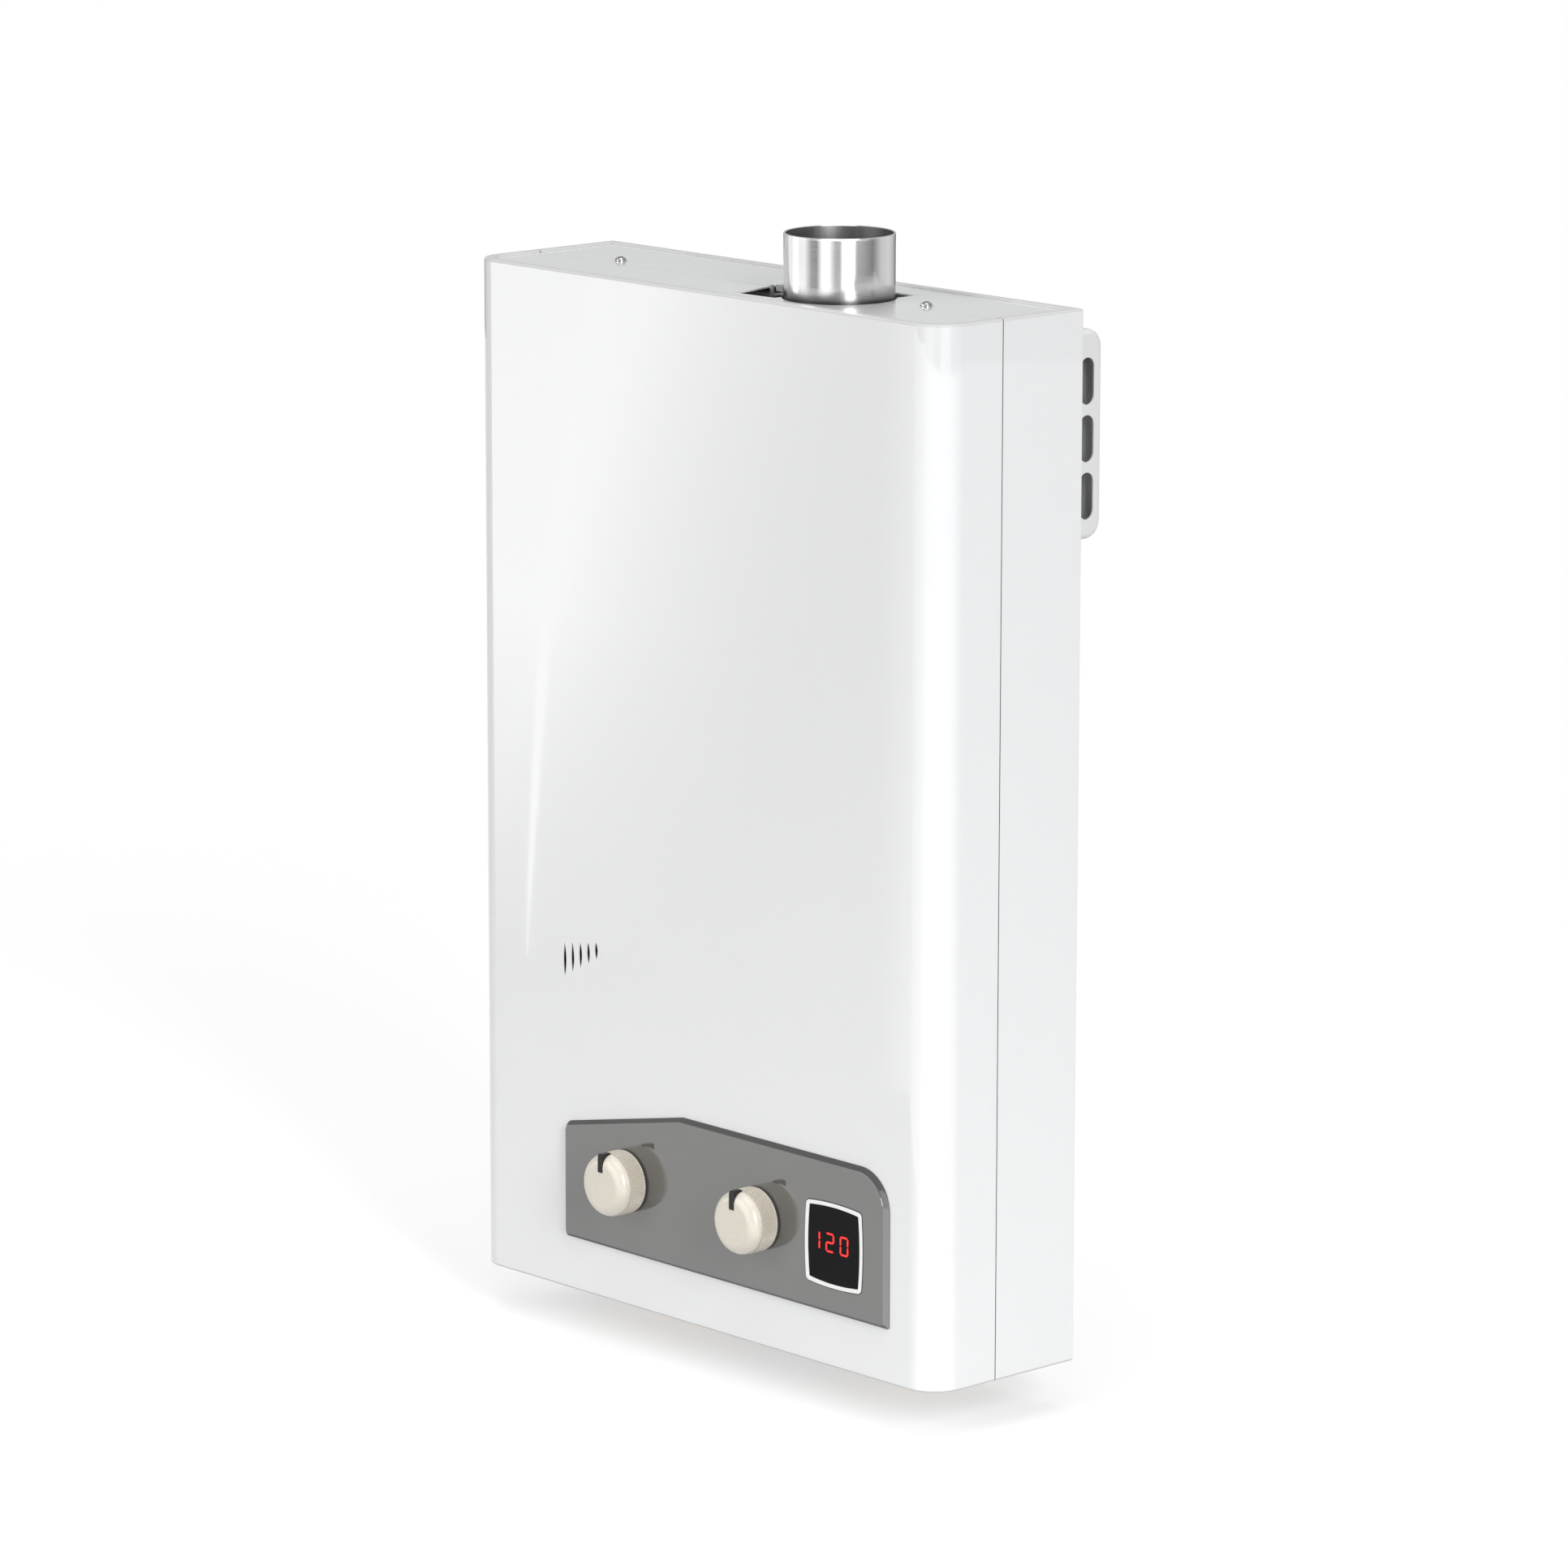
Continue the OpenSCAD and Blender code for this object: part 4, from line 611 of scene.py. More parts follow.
drawn_steel = finish("drawn_steel", grain, colour=(0.6, 0.6, 0.6), second_colour=(0.45, 0.45, 0.46),
    lay=(120, 1800, 1800), clouds=60, roughness=0.25, bump=0.15, metallic=1)
rubber = finish("black_rubber", grain, colour=(0.02, 0.02, 0.02), second_colour=(0.05, 0.048, 0.045),
    lay=800, clouds=50, roughness=0.7, bump=0.5, ior=1.5)
dark_paint = finish("dark_painted_steel", grain, colour=(0.05, 0.052, 0.056),
    second_colour=(0.09, 0.09, 0.095), lay=900, clouds=35, roughness=0.38, bump=0.25, ior=1.5)
recoat(cast, "gas_valve_body")
recoat(cast_brass, "water_valve_body", "diaphragm_cover")
recoat(turned_brass, "gas_spindle", "water_spindle", "valve_bonnets", "injectors")
recoat(drawn_steel, "link_rod", "solenoid_plunger", "motor_shaft")
recoat(rubber, "diaphragm", "flue_gasket")
recoat(dark_paint, "gas_solenoid", "fan_motor")
recoat(black_plastic, "microswitch", "control_box", "thermostat")
recoat(zinc, "switch_lever", "gas_pipe", "gas_manifold", "inner_brackets", "flue_hood", "fan_housing",
       "fan_wheel")

# Return spring
# A coil of drawn steel wire round the link rod, from the gas valve's side to the rod's collar. Its left
# end rests on the valve and its right end on the collar; it is built at one length.
wire_r, coil_r, turns, per_turn = 0.6, 4.5, 7, 24
low, high = (1000 * Vector(corner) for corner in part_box("link_spring"))
coil_y, coil_z = (low.y + high.y) / 2 + wall_y, (low.z + high.z) / 2 + hang_z
left, right = low.x + wire_r, high.x - wire_r
bm = bmesh.new()
steps, rings = turns * per_turn, []
for i in range(steps + 1):
    a = 2 * math.pi * i / per_turn
    x = left + (right - left) * i / steps
    rings.append([(x + p, coil_y + (coil_r + q) * math.cos(a), coil_z + (coil_r + q) * math.sin(a))
                  for q, p in arc(0, 0, wire_r, 0, 324, 9)])
loft(bm, rings)
spring = made("return_spring", bm, drawn_steel)
for face in spring.data.polygons:
    face.use_smooth = True
spring.data.transform(Matrix.Scale(0.001, 4) @ Matrix.Translation((0, -wall_y, -hang_z)))
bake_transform(spring)
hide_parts("link_spring")

# Burner and heat exchanger
# Pressed steel burner bars stand in a tray under a copper chamber, which has the water pipe wound
# round it and brazed on. Above it lies the block of thin copper fins with its tube through them.

# Copper or steel with dark stains, and with a heat tint near a given height
tarnish, given = new_group("tarnish", colour=(0.8, 0.45, 0.3, 1), dark_colour=(0.3, 0.15, 0.1, 1),
    heat_colour=(0.35, 0.2, 0.3, 1), heat_height=-0.2, roughness=0.3, bump=0.2)
stains = noise(tarnish, 42, 5)
spots = spread(tarnish, stains, 0.42, 0.68, 0, 0.8)
height = node(tarnish, "SeparateXYZ", {0: object_place(tarnish)})["Z"]
away = reckon(tarnish, "ABSOLUTE", reckon(tarnish, "SUBTRACT", height, given["Heat Height"]), 0)
warmed = reckon(tarnish, "MULTIPLY", spread(tarnish, away, 0, 0.04, 0.65, 0),
                spread(tarnish, noise(tarnish, 18, 2), 0.3, 0.7, 0.3, 1), clamp=True)
stained = blend_colour(tarnish, spots, given["Colour"], given["Dark Colour"])
close_group(tarnish, blend_colour(tarnish, warmed, stained, given["Heat Colour"]),
            reckon(tarnish, "ADD", given["Roughness"], reckon(tarnish, "MULTIPLY", spots, 0.25), clamp=True),
            bump(tarnish, stains, given["Bump"], 0.0002))

copper = finish("copper", tarnish, colour=(0.80, 0.42, 0.27), dark_colour=(0.36, 0.17, 0.10),
    heat_colour=(0.30, 0.16, 0.24), heat_height=-0.29, roughness=0.26, bump=0.15, metallic=1)
burner_steel = finish("burner_steel", tarnish, colour=(0.58, 0.57, 0.55), dark_colour=(0.40, 0.36, 0.31),
    heat_colour=(0.22, 0.22, 0.38), heat_height=-0.296, roughness=0.34, bump=0.1, metallic=1)
ceramic = finish("white_ceramic", grain, colour=(0.80, 0.79, 0.76), second_colour=(0.70, 0.68, 0.63),
    lay=500, clouds=60, roughness=0.3, bump=0.1, ior=1.55)
recoat(copper, "cold_elbow_pipe", "cold_riser_pipe", "exchanger_coil", "exchanger_chamber", "fin_block",
       "fin_tube", "hot_pipe")
recoat(burner_steel, "burner_bars", "burner_tray")
recoat(ceramic, "electrodes", "pressure_switch")

# Casing screws
# Four zinc-plated dome screws with a cross in the head, two through the top plates and two through
# the bottom, hold the cover's tongues to the chassis.
seats = [(x, z, way) for x in (-121.3, 118.4) for z, way in ((case_h - sheet, 1), (sheet, -1))]
screw_y, shank_r, shank_l, head_r, head_h = 54, 2, 8, 3.2, 2.25
screw_profile = [(shank_r, -shank_l), (shank_r, -0.4), (head_r - 0.05, 0), (head_r, 0.3)]
for a in (15, 30, 45, 60, 75, 86):
    screw_profile.append((head_r * math.cos(math.radians(a)), 0.3 + head_h * math.sin(math.radians(a))))
bm = bmesh.new()
for x, z, way in seats:
    loft(bm, [ring(x, screw_y, z + way * up, r, 32) for r, up in screw_profile])
bright_zinc = finish("bright_zinc", grain, colour=(0.45, 0.45, 0.455), second_colour=(0.36, 0.36, 0.365),
    lay=900, clouds=60, roughness=0.2, bump=0.05, metallic=1)
screws = made("casing_dome_screws", bm, bright_zinc)
arm, width = 1.5, 0.4
cross = [(-arm, -width), (-width, -width), (-width, -arm), (width, -arm), (width, -width), (arm, -width),
         (arm, width), (width, width), (width, arm), (-width, arm), (-width, width), (-arm, width)]
bm = bmesh.new()
for x, z, way in seats:
    prism(bm, [(x + a, screw_y + b) for a, b in cross], "z", *sorted((z + way * 1.5, z + way * 4)))
cut(screws, bm)
hang(screws, "casing", "zinc_steel", "casing_screws", crease=40)

# Flue collar
# A short tube of polished stainless steel on a square flange over the fan's outlet, standing up
# through the opening in the top. A small zinc-plated tab beside it ties the flange to the top plate.

# Brushed stainless sheet, darker and rougher below a given height: painted shade and painted reflection of
# the dark gap round its foot
steel_base_shade, given = new_group("flue_painted_base_shade", colour=(0.7, 0.7, 0.7, 1),
    burnt_colour=(0.1, 0.1, 0.1, 1), low=0.0682, high=0.0762, roughness=0.12)
place = object_place(steel_base_shade)
height = node(steel_base_shade, "SeparateXYZ", {0: place})["Z"]
burnt = reckon(steel_base_shade, "POWER", spread(steel_base_shade, height, given["Low"], given["High"], 1, 0), 1.1,
               clamp=True)
brushed = node(steel_base_shade, "VectorMath", {0: place, 1: (60, 60, 2200)}, operation="MULTIPLY")[0]
scratches = noise(steel_base_shade, 1, 2, brushed)
rough = reckon(steel_base_shade, "ADD", given["Roughness"], spread(steel_base_shade, scratches, 0.3, 0.7, -0.02, 0.03))
close_group(steel_base_shade, blend_colour(steel_base_shade, burnt, given["Colour"], given["Burnt Colour"]),
            reckon(steel_base_shade, "ADD", rough, reckon(steel_base_shade, "MULTIPLY", burnt, 0.25)),
            bump(steel_base_shade, scratches, 0.05, 0.00003))

# The collar's darker foot is painted shade and reflection of the gap below it
polished = finish("polished_stainless", steel_base_shade, colour=(0.78, 0.78, 0.775),
    burnt_colour=(0.07, 0.07, 0.07), roughness=0.1, metallic=1)
inner_steel = finish("inner_stainless", grain, colour=(0.30, 0.30, 0.297), second_colour=(0.22, 0.22, 0.22),
    lay=(1300, 1300, 60), clouds=22, roughness=0.38, bump=0.15, metallic=1)
flue_x, flue_y, flue_r, tube_t = 63, 44, 29.5, 1
collar_low, collar_high, collar_round = 552, 598.4, 160
flange_half, flange_front, flange_rear, flange_t = 35.5, 10, 78, 1.5
# The tube's section, out from its radius and up: foot on the flange, wall, and rolled lip
section = [(-tube_t, collar_low), (0.6, collar_low + 1), (0.6, collar_low + 1.5), (0, collar_low + 2.3),
           (-0.1, 568), (-0.12, 590), (-0.05, collar_high - 1.6), (0, collar_high - 0.7),
           (0, collar_high - 0.4), (-0.35, collar_high - 0.06), (-0.5, collar_high),
           (-0.72, collar_high - 0.04), (-tube_t, collar_high - 0.35), (-tube_t, 580)]
bm = bmesh.new()
rows = loft(bm, [ring(flue_x, flue_y, z, flue_r + out, collar_round) for out, z in section], hollow=True)
flange = [(flue_x + a * flange_half, y) for a, y in (
    (-1, flange_front), (1, flange_front), (1, flange_rear), (-1, flange_rear))]
square = [[bm.verts.new((x, y, z)) for x, y in flange] for z in (collar_low + flange_t, collar_low)]
for i in range(4):
    j = (i + 1) % 4
    bm.faces.new((square[0][i], square[0][j], square[1][j], square[1][i]))


# A plate between four corners and a circle, one face to each side
def holed_plate(bm, corners, circle):
    count = len(circle)
    nearest = [min(range(count), key=lambda k: (circle[k].co - corner.co).length) for corner in corners]
    for i in range(4):
        j = (i + 1) % 4
        a, b = nearest[i], nearest[j]
        steps = (b - a) % count
        way = 1 if steps < count / 2 else -1
        arc_verts = [circle[(a + way * k) % count] for k in range(min(steps, count - steps) + 1)]
        bm.faces.new([corners[i], corners[j]] + arc_verts[::-1])


holed_plate(bm, square[0], rows[2])
holed_plate(bm, square[1], rows[0])
collar = made("flue_tube", bm, polished, inner_steel)
for face in collar.data.polygons:
    middle = Vector((face.center.x - flue_x, face.center.y - flue_y))
    if middle.length < flue_r - 0.75 and face.normal.z < 0.5:
        face.material_index = 1
hang(collar, "casing", "stainless_steel", "flue_collar", crease=40)

bm = bmesh.new()
x, y, z = 10.4, 46, collar_low + flange_t
block(bm, (x - 2, y - 1.5, z + 6), (x, y, 565))
block(bm, (x - 18, y - 1.5, z + 5), (x, y + 12, z + 6))
block(bm, (x, y + 4, z + 5), (x + 4, y + 12, z + 6))
block(bm, (x + 1.3, y, z + 8.4), (x + 6.7, y + 1, 565.4))
block(bm, (x + 1.3, y + 1, z + 8.4), (x + 6.7, y + 12, z + 9.4))
block(bm, (x + 4, y + 4, z), (x + 5, y + 12, z + 8.4))
block(bm, (x + 5, y + 4, z), (31.5, y + 12, z + 1))
dull_zinc = finish("dull_zinc", grain, colour=(0.52, 0.525, 0.53), second_colour=(0.42, 0.425, 0.43),
    lay=900, clouds=60, roughness=0.5, bump=0.1, metallic=0.3)
tab = made("collar_tie", bm, dull_zinc)
soften(tab, 0.15)
hang(tab, "casing", "zinc_steel", "collar_tab")

# Front cover
# The front half of the casing: one 1 mm steel sheet bent round two 19 mm corners, rims turned in at the
# top and bottom, under glossy white enamel. Five lens-shaped slits at the lower left look in on the
# burner, and holes behind the panel pass the spindles and the display.
corner_r = 19
slit_count, slit_x, slit_top, slit_h, slit_w, slit_pitch = 5, -108.2, 195.2, 19.8, 2.7, 6.5
knob_x, knob_z = {"gas_knob": -54.2, "water_knob": 51.6}, 71.4
display_x, display_z, module_w, module_h = 111.5, 67.9, 35.6, 37.3
bm = bmesh.new()
folded(bm, [along(case_r, seam_front, -1, 0)]
       + round_corner(case_r - corner_r, corner_r, corner_r, 0, -90, 18, 1, -1)
       + round_corner(corner_r - case_r, corner_r, corner_r, 270, 180, 18, -1, -1)
       + [along(-case_r, seam_front, 1, 0)])
cover = made("front_cover_shell", bm, enamel, rim_shade_enamel)
# The folded top and bottom edges take the greyer rim paint, a painted shade
for face in cover.data.polygons:
    face.material_index = int(on_edge(face))
bm = bmesh.new()
for i in range(slit_count):
    tall = slit_h - 2.5 * i
    r = (tall * tall + slit_w * slit_w) / slit_w / 4
    lean = math.degrees(math.asin(tall / 2 / r))
    x, z = slit_x + slit_pitch * i, slit_top + 1.05 * i - tall / 2
    right_arc = arc(x - r + slit_w / 2, z, r, lean, -lean, 14)
    prism(bm, arc(x + r - slit_w / 2, z, r, 180 + lean, 180 - lean, 14) + right_arc[1:-1], "y", -2, 3)
for x in knob_x.values():
    prism(bm, arc(x, knob_z, 6, 0, 350, 35), "y", -2, 3)
block(bm, (display_x - module_w / 2, -2, display_z - module_h / 2),
      (display_x + module_w / 2, 3, display_z + module_h / 2))
cut(cover, bm)
soften(cover, 0.22)
hang(cover, "casing", "white_enamel", "front_cover")

# Control panel
# A moulded panel, 3.2 mm proud of the cover, in satin grey lacquer with a bevel all round, painted darker at
# the top and bottom and paler at the sides as painted shade and light. Its top edge rises to a bend left of
# the middle, and its upper right corner is round.
panel_face, panel_left, panel_right, panel_low, panel_top = -3.2, -106.7, 151, 30, 114.5
left_r, left_corner_z, right_r, bend_x = 5.7, 90.3, 22, -10.4
display_half_w, display_half_h, display_round, bow_up, bow_out = 21.1, 21.95, 1.8, 1.3, 1.1
boss_x, boss_z = (-97.7, 142), (38, 74)
# The bevel's section: distance in from the panel's outline, and out from the cover
bevel = [(0, 0), (0, 0.62), (0.12, 0.78), (0.46, 1.24), (1.15, 1.93), (1.84, 2.62), (2.139, 3.14),
         (2.484, -panel_face)]
grey_lacquer = finish("grey_lacquer", grain, colour=(0.094, 0.092, 0.089),
    second_colour=(0.080, 0.078, 0.076), lay=2300, clouds=14, roughness=0.45, bump=0.5, ior=1.3,
    coat_weight=1, coat_roughness=0.035, coat_ior=2.05)
# The darker and paler bevel lacquers are painted shade and painted light on the panel's slopes
shaded_bevel_lacquer = finish("shaded_bevel_lacquer", grain, colour=(0.075, 0.074, 0.072),
    second_colour=(0.062, 0.061, 0.06), lay=2300, clouds=14, roughness=0.42, bump=0.25, ior=1.35)
lit_bevel_lacquer = finish("lit_bevel_lacquer", grain, colour=(0.16, 0.158, 0.153), second_colour=(0.14, 0.138, 0.134),
    lay=2300, clouds=14, roughness=0.42, bump=0.25, ior=1.3, coat_weight=1, coat_roughness=0.1,
    coat_ior=1.5)


def panel_outline(m):
    left, right, low, top = panel_left + m, panel_right - m, panel_low + m, panel_top - m
    return ([(left + 1.2, low), (left + 0.35, low + 0.35), (left, low + 1.2)]
            + arc(panel_left + left_r, left_corner_z, left_r - m, 180, 96, 6)
            + [(bend_x - 1.2, top - 0.08), (bend_x, top), (bend_x + 1.2, top)]
            + arc(panel_right - right_r, panel_top - right_r, right_r - m, 90, 0, 20)
            + [(right, low + 1.2), (right - 0.4, low + 0.4), (right - 1.2, low)])


# The display's outline, moved in by m: a square with small round corners, its four sides bowed out
def bowed(m):
    outline, steps, c = [], 12, max(display_round - m, 0.4)
    sides = ((display_half_w, display_half_h, bow_up), (display_half_h, display_half_w, bow_out))
    for turn, (a, b, bow) in enumerate(sides * 2):
        a, b = a - m, b - m
        along_side = [(1 - c / a) * (2 * i / steps - 1) for i in range(steps + 1)]
        points = [(a * t, b + bow * (1 - t * t)) for t in along_side]
        points += [(a - c + c * math.sin(math.radians(d)), b - c + c * math.cos(math.radians(d)))
                   for d in (18, 36, 54, 72)]
        for u, v in points:
            u, v = ((u, v), (v, -u), (-u, -v), (-v, u))[turn]
            outline.append((display_x + u, display_z + v))
    return outline


bm = bmesh.new()
loft(bm, [[(x, -out, z) for x, z in panel_outline(m)] for m, out in bevel])
panel = made("grey_panel", bm, grey_lacquer, shaded_bevel_lacquer, lit_bevel_lacquer)
# Bevel slopes facing up or down take the darker lacquer as painted shade, the side slopes the paler one as
# painted light
for face in panel.data.polygons:
    if face.normal.y > -0.97 or face.center.y > -1:
        face.material_index = 1 if abs(face.normal.z) > 0.4 else 2
bm = bmesh.new()
for x in knob_x.values():
    prism(bm, arc(x, knob_z, 5, 0, 350, 35), "y", -5, 2)
prism(bm, bowed(0.75), "y", -5, 2)
cut(panel, bm)
bm = bmesh.new()
bm.from_mesh(panel.data)
for x in boss_x:
    for z in boss_z:
        prism(bm, arc(x, z, 2.5, 0, 345, 23), "y", -0.5, 5)
bm.to_mesh(panel.data)
bm.free()
hang(panel, "casing", "grey_panel", "control_panel", crease=28)

# Display
# A white frame whose four sides bow out stands over a thin black ring, a painted shadow line round its edge.
# It holds a smoked window with a red three-digit number lit behind it, and the display's board and housing
# lie in the hole behind.
white_gloss = finish("white_frame", grain, colour=(0.90, 0.90, 0.89), second_colour=(0.86, 0.86, 0.85),
    lay=900, clouds=50, roughness=0.16, bump=0.05, ior=1.5, coat_weight=0.3)
smoked = finish("smoked_window", grain, colour=(0.0085, 0.0085, 0.009), second_colour=(0.011, 0.011, 0.0115),
    lay=300, clouds=30, roughness=0.16, bump=0.02, ior=1.45, specular_ior_level=0.06)
board_green = finish("green_board", grain, colour=(0.02, 0.13, 0.05), second_colour=(0.03, 0.18, 0.08),
    lay=900, clouds=80, roughness=0.35, bump=0.4, ior=1.5)
frame_face = panel_face - 0.6


def bowed_rings(section):
    return [[(x, y, z) for x, z in bowed(m)] for m, y in section]


rim_section = [(0.9, 0), (0.9, panel_face), (0.1, panel_face - 0.12), (0.08, frame_face + 0.2),
               (0.14, frame_face + 0.06), (0.3, frame_face), (1.9, frame_face), (2.06, frame_face + 0.06),
               (2.15, frame_face + 0.2), (2.2, 0)]
shadow_ring_section = [(-0.45, panel_face + 0.2), (-0.45, panel_face - 0.03), (0.1, panel_face - 0.08),
                (1.1, panel_face - 0.08), (1.1, panel_face + 0.2)]
glass_section = [(2.3, frame_face + 2.1), (2.3, frame_face + 0.56), (2.4, frame_face + 0.5),
                 (9, frame_face + 0.5)]
bm = bmesh.new()
loft(bm, bowed_rings(rim_section), hollow=True)
hang(made("display_rim", bm, white_gloss), "casing", "white_plastic", "display_frame", crease=40)
bm = bmesh.new()
# A thin black ring under the frame's edge, a painted shadow line
loft(bm, bowed_rings(shadow_ring_section), hollow=True)
hang(made("display_shadow_ring", bm, rubber), "casing", "rubber", crease=40)
bm = bmesh.new()
loft(bm, bowed_rings(glass_section))
hang(made("display_glass", bm, smoked), "casing", "black_window", "display_window", crease=25)
recoat(board_green, "display_module")

# Digits
# Seven-segment bars of lit red plastic, with pointed ends, just under the window's face. They read 120.
lit_red = finish("lit_red", grain, colour=(0.80, 0.02, 0.02), second_colour=(0.72, 0.015, 0.015), lay=1500,
    clouds=120, roughness=0.4, bump=0.02, emission_strength=0.85, emission_color=(1, 0.045, 0.045),
    specular_ior_level=0.2)
digit_pitch, digit_left, digit_up = 10.9, 3, 1.3
half_w, half_h, bar_half, bar_gap = 2.75, 4.8, 0.5, 0.18
top_left, top_right, left, right, low_left, low_right = (
    Vector((x, z)) for z in (half_h, 0, -half_h) for x in (-half_w, half_w))
bars = [(top_left, top_right), (top_right, right), (right, low_right), (low_left, low_right),
        (low_left, left), (left, top_left), (left, right)]
lit = {1: (1, 2), 2: (0, 1, 3, 4, 6), 0: (0, 1, 2, 3, 4, 5)}
bm = bmesh.new()
for place, digit in enumerate((1, 2, 0)):
    middle = Vector((display_x - digit_left + (place - 1) * digit_pitch, display_z + digit_up))
    for start, stop in (bars[k] for k in lit[digit]):
        run = (stop - start).normalized()
        side = Vector((-run.y, run.x))
        start, stop = middle + start + run * bar_gap, middle + stop - run * bar_gap
        outline = [start, start + (run + side) * bar_half, stop + (side - run) * bar_half,
                   stop, stop - (run + side) * bar_half, start + (run - side) * bar_half]
        prism(bm, outline, "y", frame_face + 0.32, frame_face + 0.495)
hang(made("red_number", bm, lit_red), "casing", "red_digits", "display_digits")

# Knobs
# Two turned-looking knobs in cream plastic, alike: a knurled band, a fine groove, and a face with a
# rounded shoulder. A black pointer is pressed into a slot in each, over the face and down its edge.
cream = finish("cream_plastic", grain, colour=(0.725, 0.675, 0.585), second_colour=(0.70, 0.65, 0.56),
    lay=700, clouds=60, roughness=0.22, bump=0.05, ior=1.5, coat_weight=0.4, coat_roughness=0.08)
gloss_black = finish("gloss_black_plastic", grain, colour=(0.01, 0.01, 0.01),
    second_colour=(0.018, 0.018, 0.018), lay=1500, clouds=60, roughness=0.24, bump=0.06, ior=1.5,
    specular_ior_level=0.2, coat_weight=0.12)
# The knurled band is painted darker than the faces, as painted shade of its grooves
cream_knurl_shade = finish("cream_knurl_shade", grain, colour=(0.58, 0.535, 0.46), second_colour=(0.52, 0.48, 0.41),
    lay=700, clouds=60, roughness=0.3, bump=0.05, ior=1.5, coat_weight=0.3, coat_roughness=0.1)
knob_r, knob_l, knob_rear, knurl_top = 17.7, 17.6, -4.3, 11.4
knob_round = knob_l - knurl_top
around, knurls, knurl_deep, bore, bore_deep = 420, 70, 0.8, 3.05, 13.6
bar_w, bar_t, bar_l, pocket_gap = 3.6, 1.4, 9.8, 0.08


def knob_shoulder(m):
    return arc(knob_r - 0.3 - knob_round, knurl_top, knob_round + m, 0, 90, 12)


def knob_ring(x, z, radius):
    return [(across, knob_rear - z, up) for across, up, _ in ring(x, knob_z, 0, radius, around)]


def knurled(z):
    fade = max(0, min(1, (z - 0.2) / 0.9, (knurl_top - 0.5 - z) / 0.9))

    def radius(a):
        u = (knurls * a / 2 / math.pi + z / 2.4) % 1
        v = (knurls * a / 2 / math.pi - z / 2.4) % 1
        groove = max(0, abs(2 * u - 1) - 0.3, abs(2 * v - 1) - 0.3) / 0.7
        return knob_r - 0.05 - knurl_deep * groove * fade - (1 - fade) * 0.3
    return radius


# The pocket and the bar have one section: over the face and the shoulder, down to the knurls
def bar(proud, m):
    inner, out, face = knob_shoulder(m / 2 - bar_t), knob_r + proud, knob_l + proud
    tip, low = knob_r - bar_l - m, knurl_top + 0.1 - m
    outline = ([(out, low)] + arc(out - 1.5, face - 1.5, 1.5, 0, 90, 6)
               + [(tip, face), (tip, inner[-1][1])] + inner[:0:-1] + [(inner[0][0], low)])
    return [(knob_rear - z, knob_z + r) for r, z in outline]


# Height and radius from the spindle's bore round the rear and up the knurls to the face
knurl_steps = [0.2 + (knurl_top - 0.7) * k / 40 for k in range(41)]
knob_profile = ([(bore_deep, bore), (0.4, bore), (0, bore + 0.45), (0, knob_r - 1.2)]
                + [(z, knurled(z)) for z in knurl_steps]
                + [(knurl_top - 0.45, knob_r - 0.75), (knurl_top - 0.3, knob_r - 0.85),
                   (knurl_top - 0.12, knob_r - 0.6)]
                + [(z, r) for r, z in knob_shoulder(0)] + [(knob_l, knob_r * 0.42), (knob_l, 1.2)])
for body, x in knob_x.items():
    bm = bmesh.new()
    loft(bm, [knob_ring(x, z, radius) for z, radius in knob_profile])
    knob = made(body + "_body", bm, cream, cream_knurl_shade)
    # The knurled band takes the darker cream, a painted shade
    for face in knob.data.polygons:
        face.material_index = int(knob_rear - knurl_top + 0.5 < face.center.y < knob_rear - 0.1)
    bm = bmesh.new()
    prism(bm, bar(2, pocket_gap), "x", x - bar_w / 2 - pocket_gap, x + bar_w / 2 + pocket_gap)
    cut(knob, bm)
    hang(knob, body, "cream_plastic", body, crease=35)
    bm = bmesh.new()
    prism(bm, bar(0.5, 0), "x", x - bar_w / 2, x + bar_w / 2)
    pointer = made(body + "_mark", bm, gloss_black)
    soften(pointer, 0.35, 3, angle=50)
    hang(pointer, body, "black_plastic", body + "_pointer", crease=40)

# Reflectors
# Emissive boards that only glossy surfaces mirror: a slanted strip that streaks the cover's front, a
# wide board behind it, and a ring wall round the heater for the collar and the panel.


def reflector(name, points, faces=None):
    board, tree = screen(name, name, points, faces or [tuple(range(len(points)))])
    board.visible_camera = False
    board.visible_diffuse = False
    board.visible_shadow = False
    board.visible_transmission = False
    board.visible_volume_scatter = False
    return tree


def shine(tree, strength):
    node(tree, "OutputMaterial", {"Surface": node(tree, "Emission", {"Strength": strength})[0]})


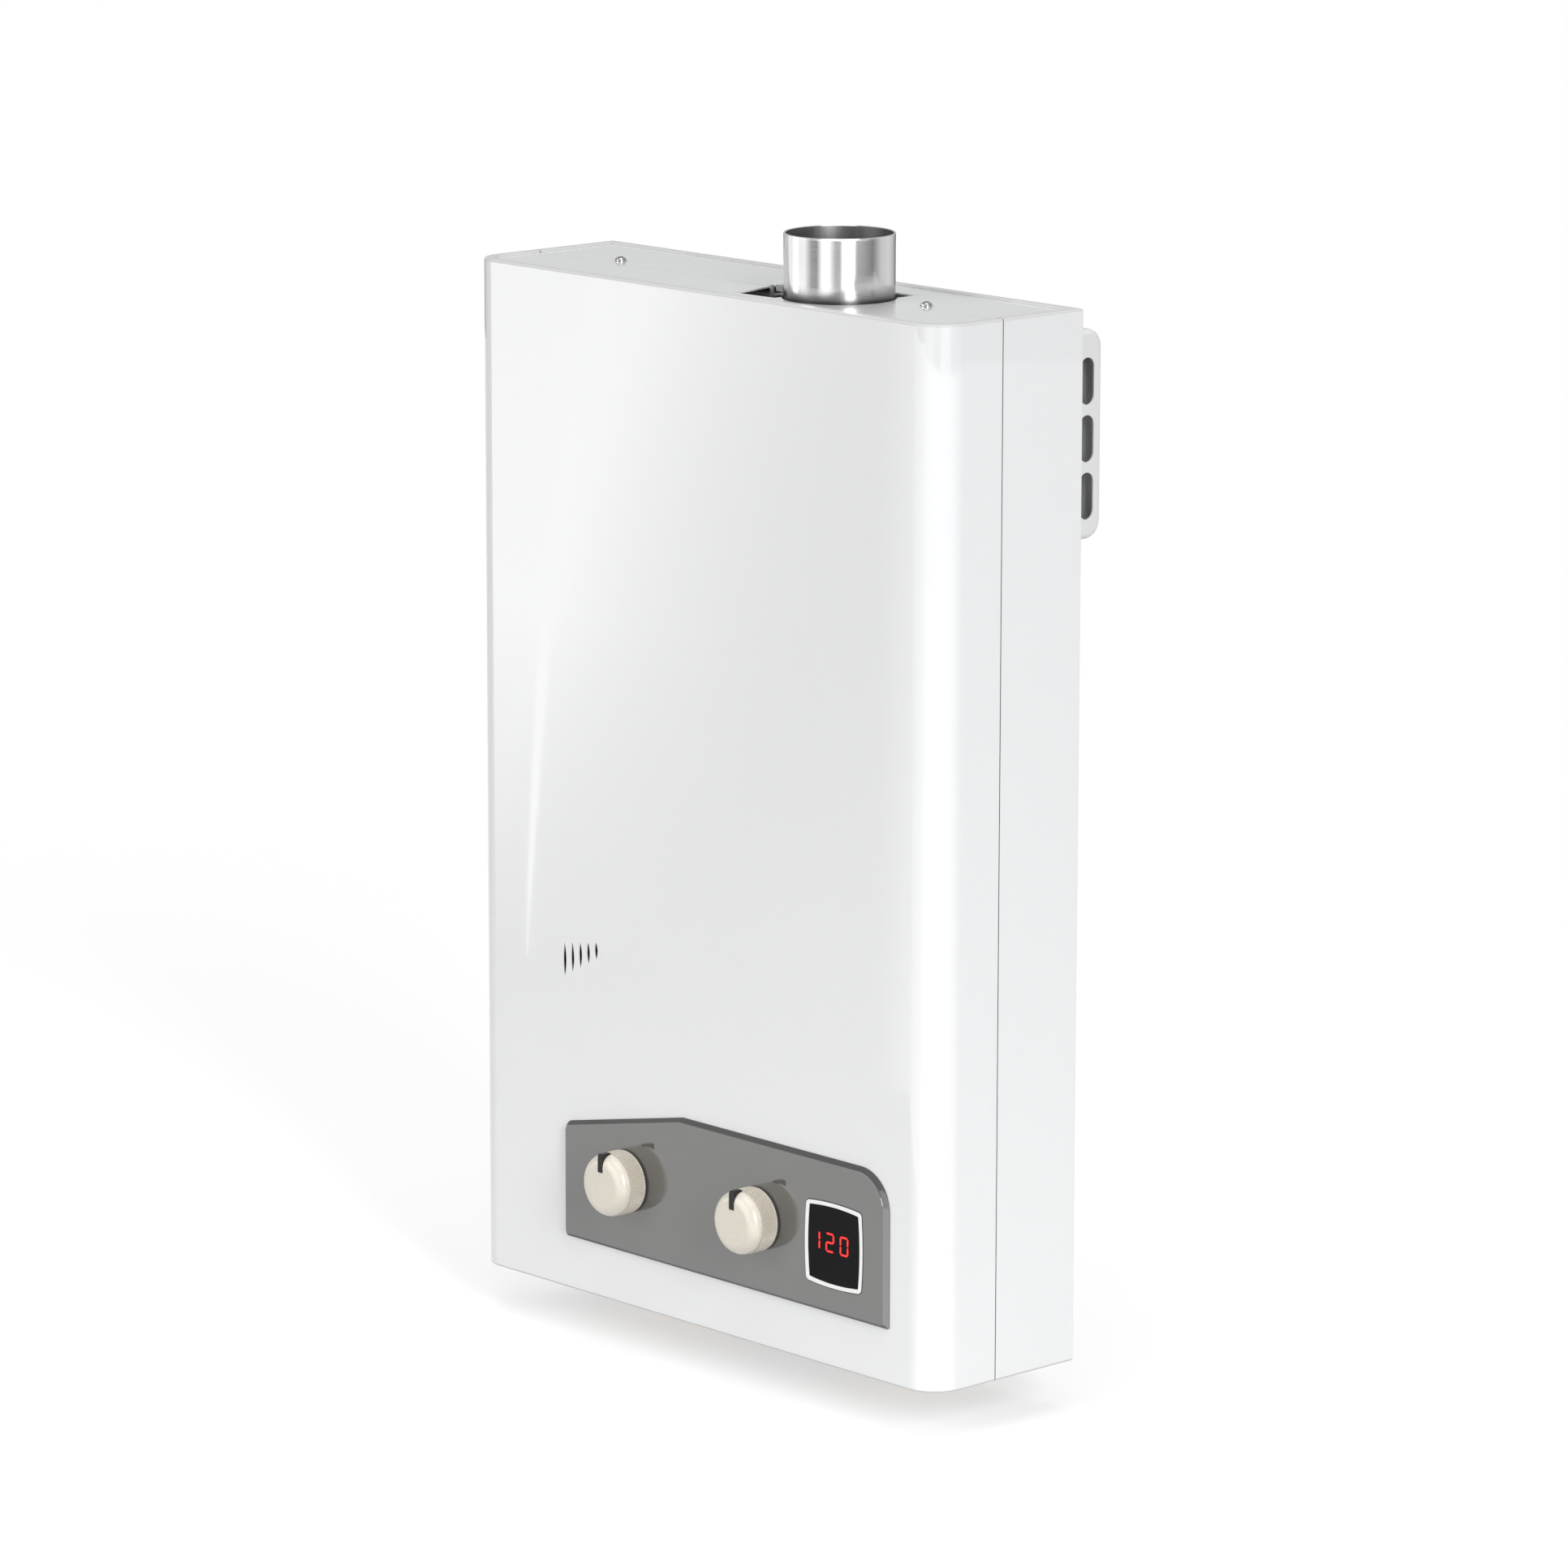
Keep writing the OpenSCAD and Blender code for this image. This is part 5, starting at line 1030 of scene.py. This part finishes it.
strip_y, board_y = -0.626, -0.64
left_edge = [(-0.656, -0.033), (-0.667, -0.078), (-0.686, -0.144), (-0.707, -0.265), (-0.717, -0.387),
             (-0.721, -0.454), (-0.722, -0.493)]
right_edge = [(-0.631, -0.030), (-0.642, -0.075), (-0.661, -0.141), (-0.694, -0.264), (-0.709, -0.385),
              (-0.717, -0.454), (-0.721, -0.493)]
shine(reflector("streak", [(x, strip_y, z) for x, z in left_edge + right_edge[::-1]]), 3.5)

# The wide board is as white as the floor, and brighter towards its upper left
tree = reflector("wide_board", [(x, board_y, z) for x, z in (
    (-1, -0.028), (-0.38, -0.028), (0.17, -0.015), (0.17, -0.5235), (-1, -0.5235))])
place = node(tree, "SeparateXYZ", {0: node(tree, "NewGeometry", {})["Position"]})
slanted = reckon(tree, "SUBTRACT", place["X"], reckon(tree, "MULTIPLY", place["Z"], 0.42))
leftward = spread(tree, slanted, -0.6, -0.32, 1, 0)
upward = spread(tree, place["Z"], -0.5, -0.26, 0, 1)
cornerward = spread(tree, place["X"], -0.4, -0.36, 1, 2.2)
glow = reckon(tree, "MULTIPLY", reckon(tree, "MULTIPLY", leftward, leftward),
              reckon(tree, "MULTIPLY", upward, 2.4))
shine(tree, reckon(tree, "ADD", glow, cornerward))

# The ring wall is open at the front left, and its brightness changes with the direction
wall_x, wall_back, wall_r, wall_low, wall_high = 0.063, -0.082, 0.75, -0.05, 0.1
wall_stops = [(-180, 0.8), (-165, 1.1), (-118, 1.1), (-103, 0.4), (-90, 0.3), (-79, 1.3), (-66, 1.4),
              (-52, 0.5), (-42, 0.5), (-35, 1.8), (-15, 1.8), (-9, 0.5), (8, 0.4), (28, 0.25), (50, 0.7),
              (75, 0.8), (95, 0.6), (118, 0.2), (150, 0.2), (166, 0.45)]
wall = arc(wall_x, wall_back, wall_r, -122, 200, 92)
count = len(wall)
tree = reflector("ring_wall", [(x, y, z) for z in (wall_low, wall_high) for x, y in wall],
                 [(i, i + 1, count + i + 1, count + i) for i in range(count - 1)])
shine(tree, by_direction(tree, wall_x, wall_back, wall_stops, 2))
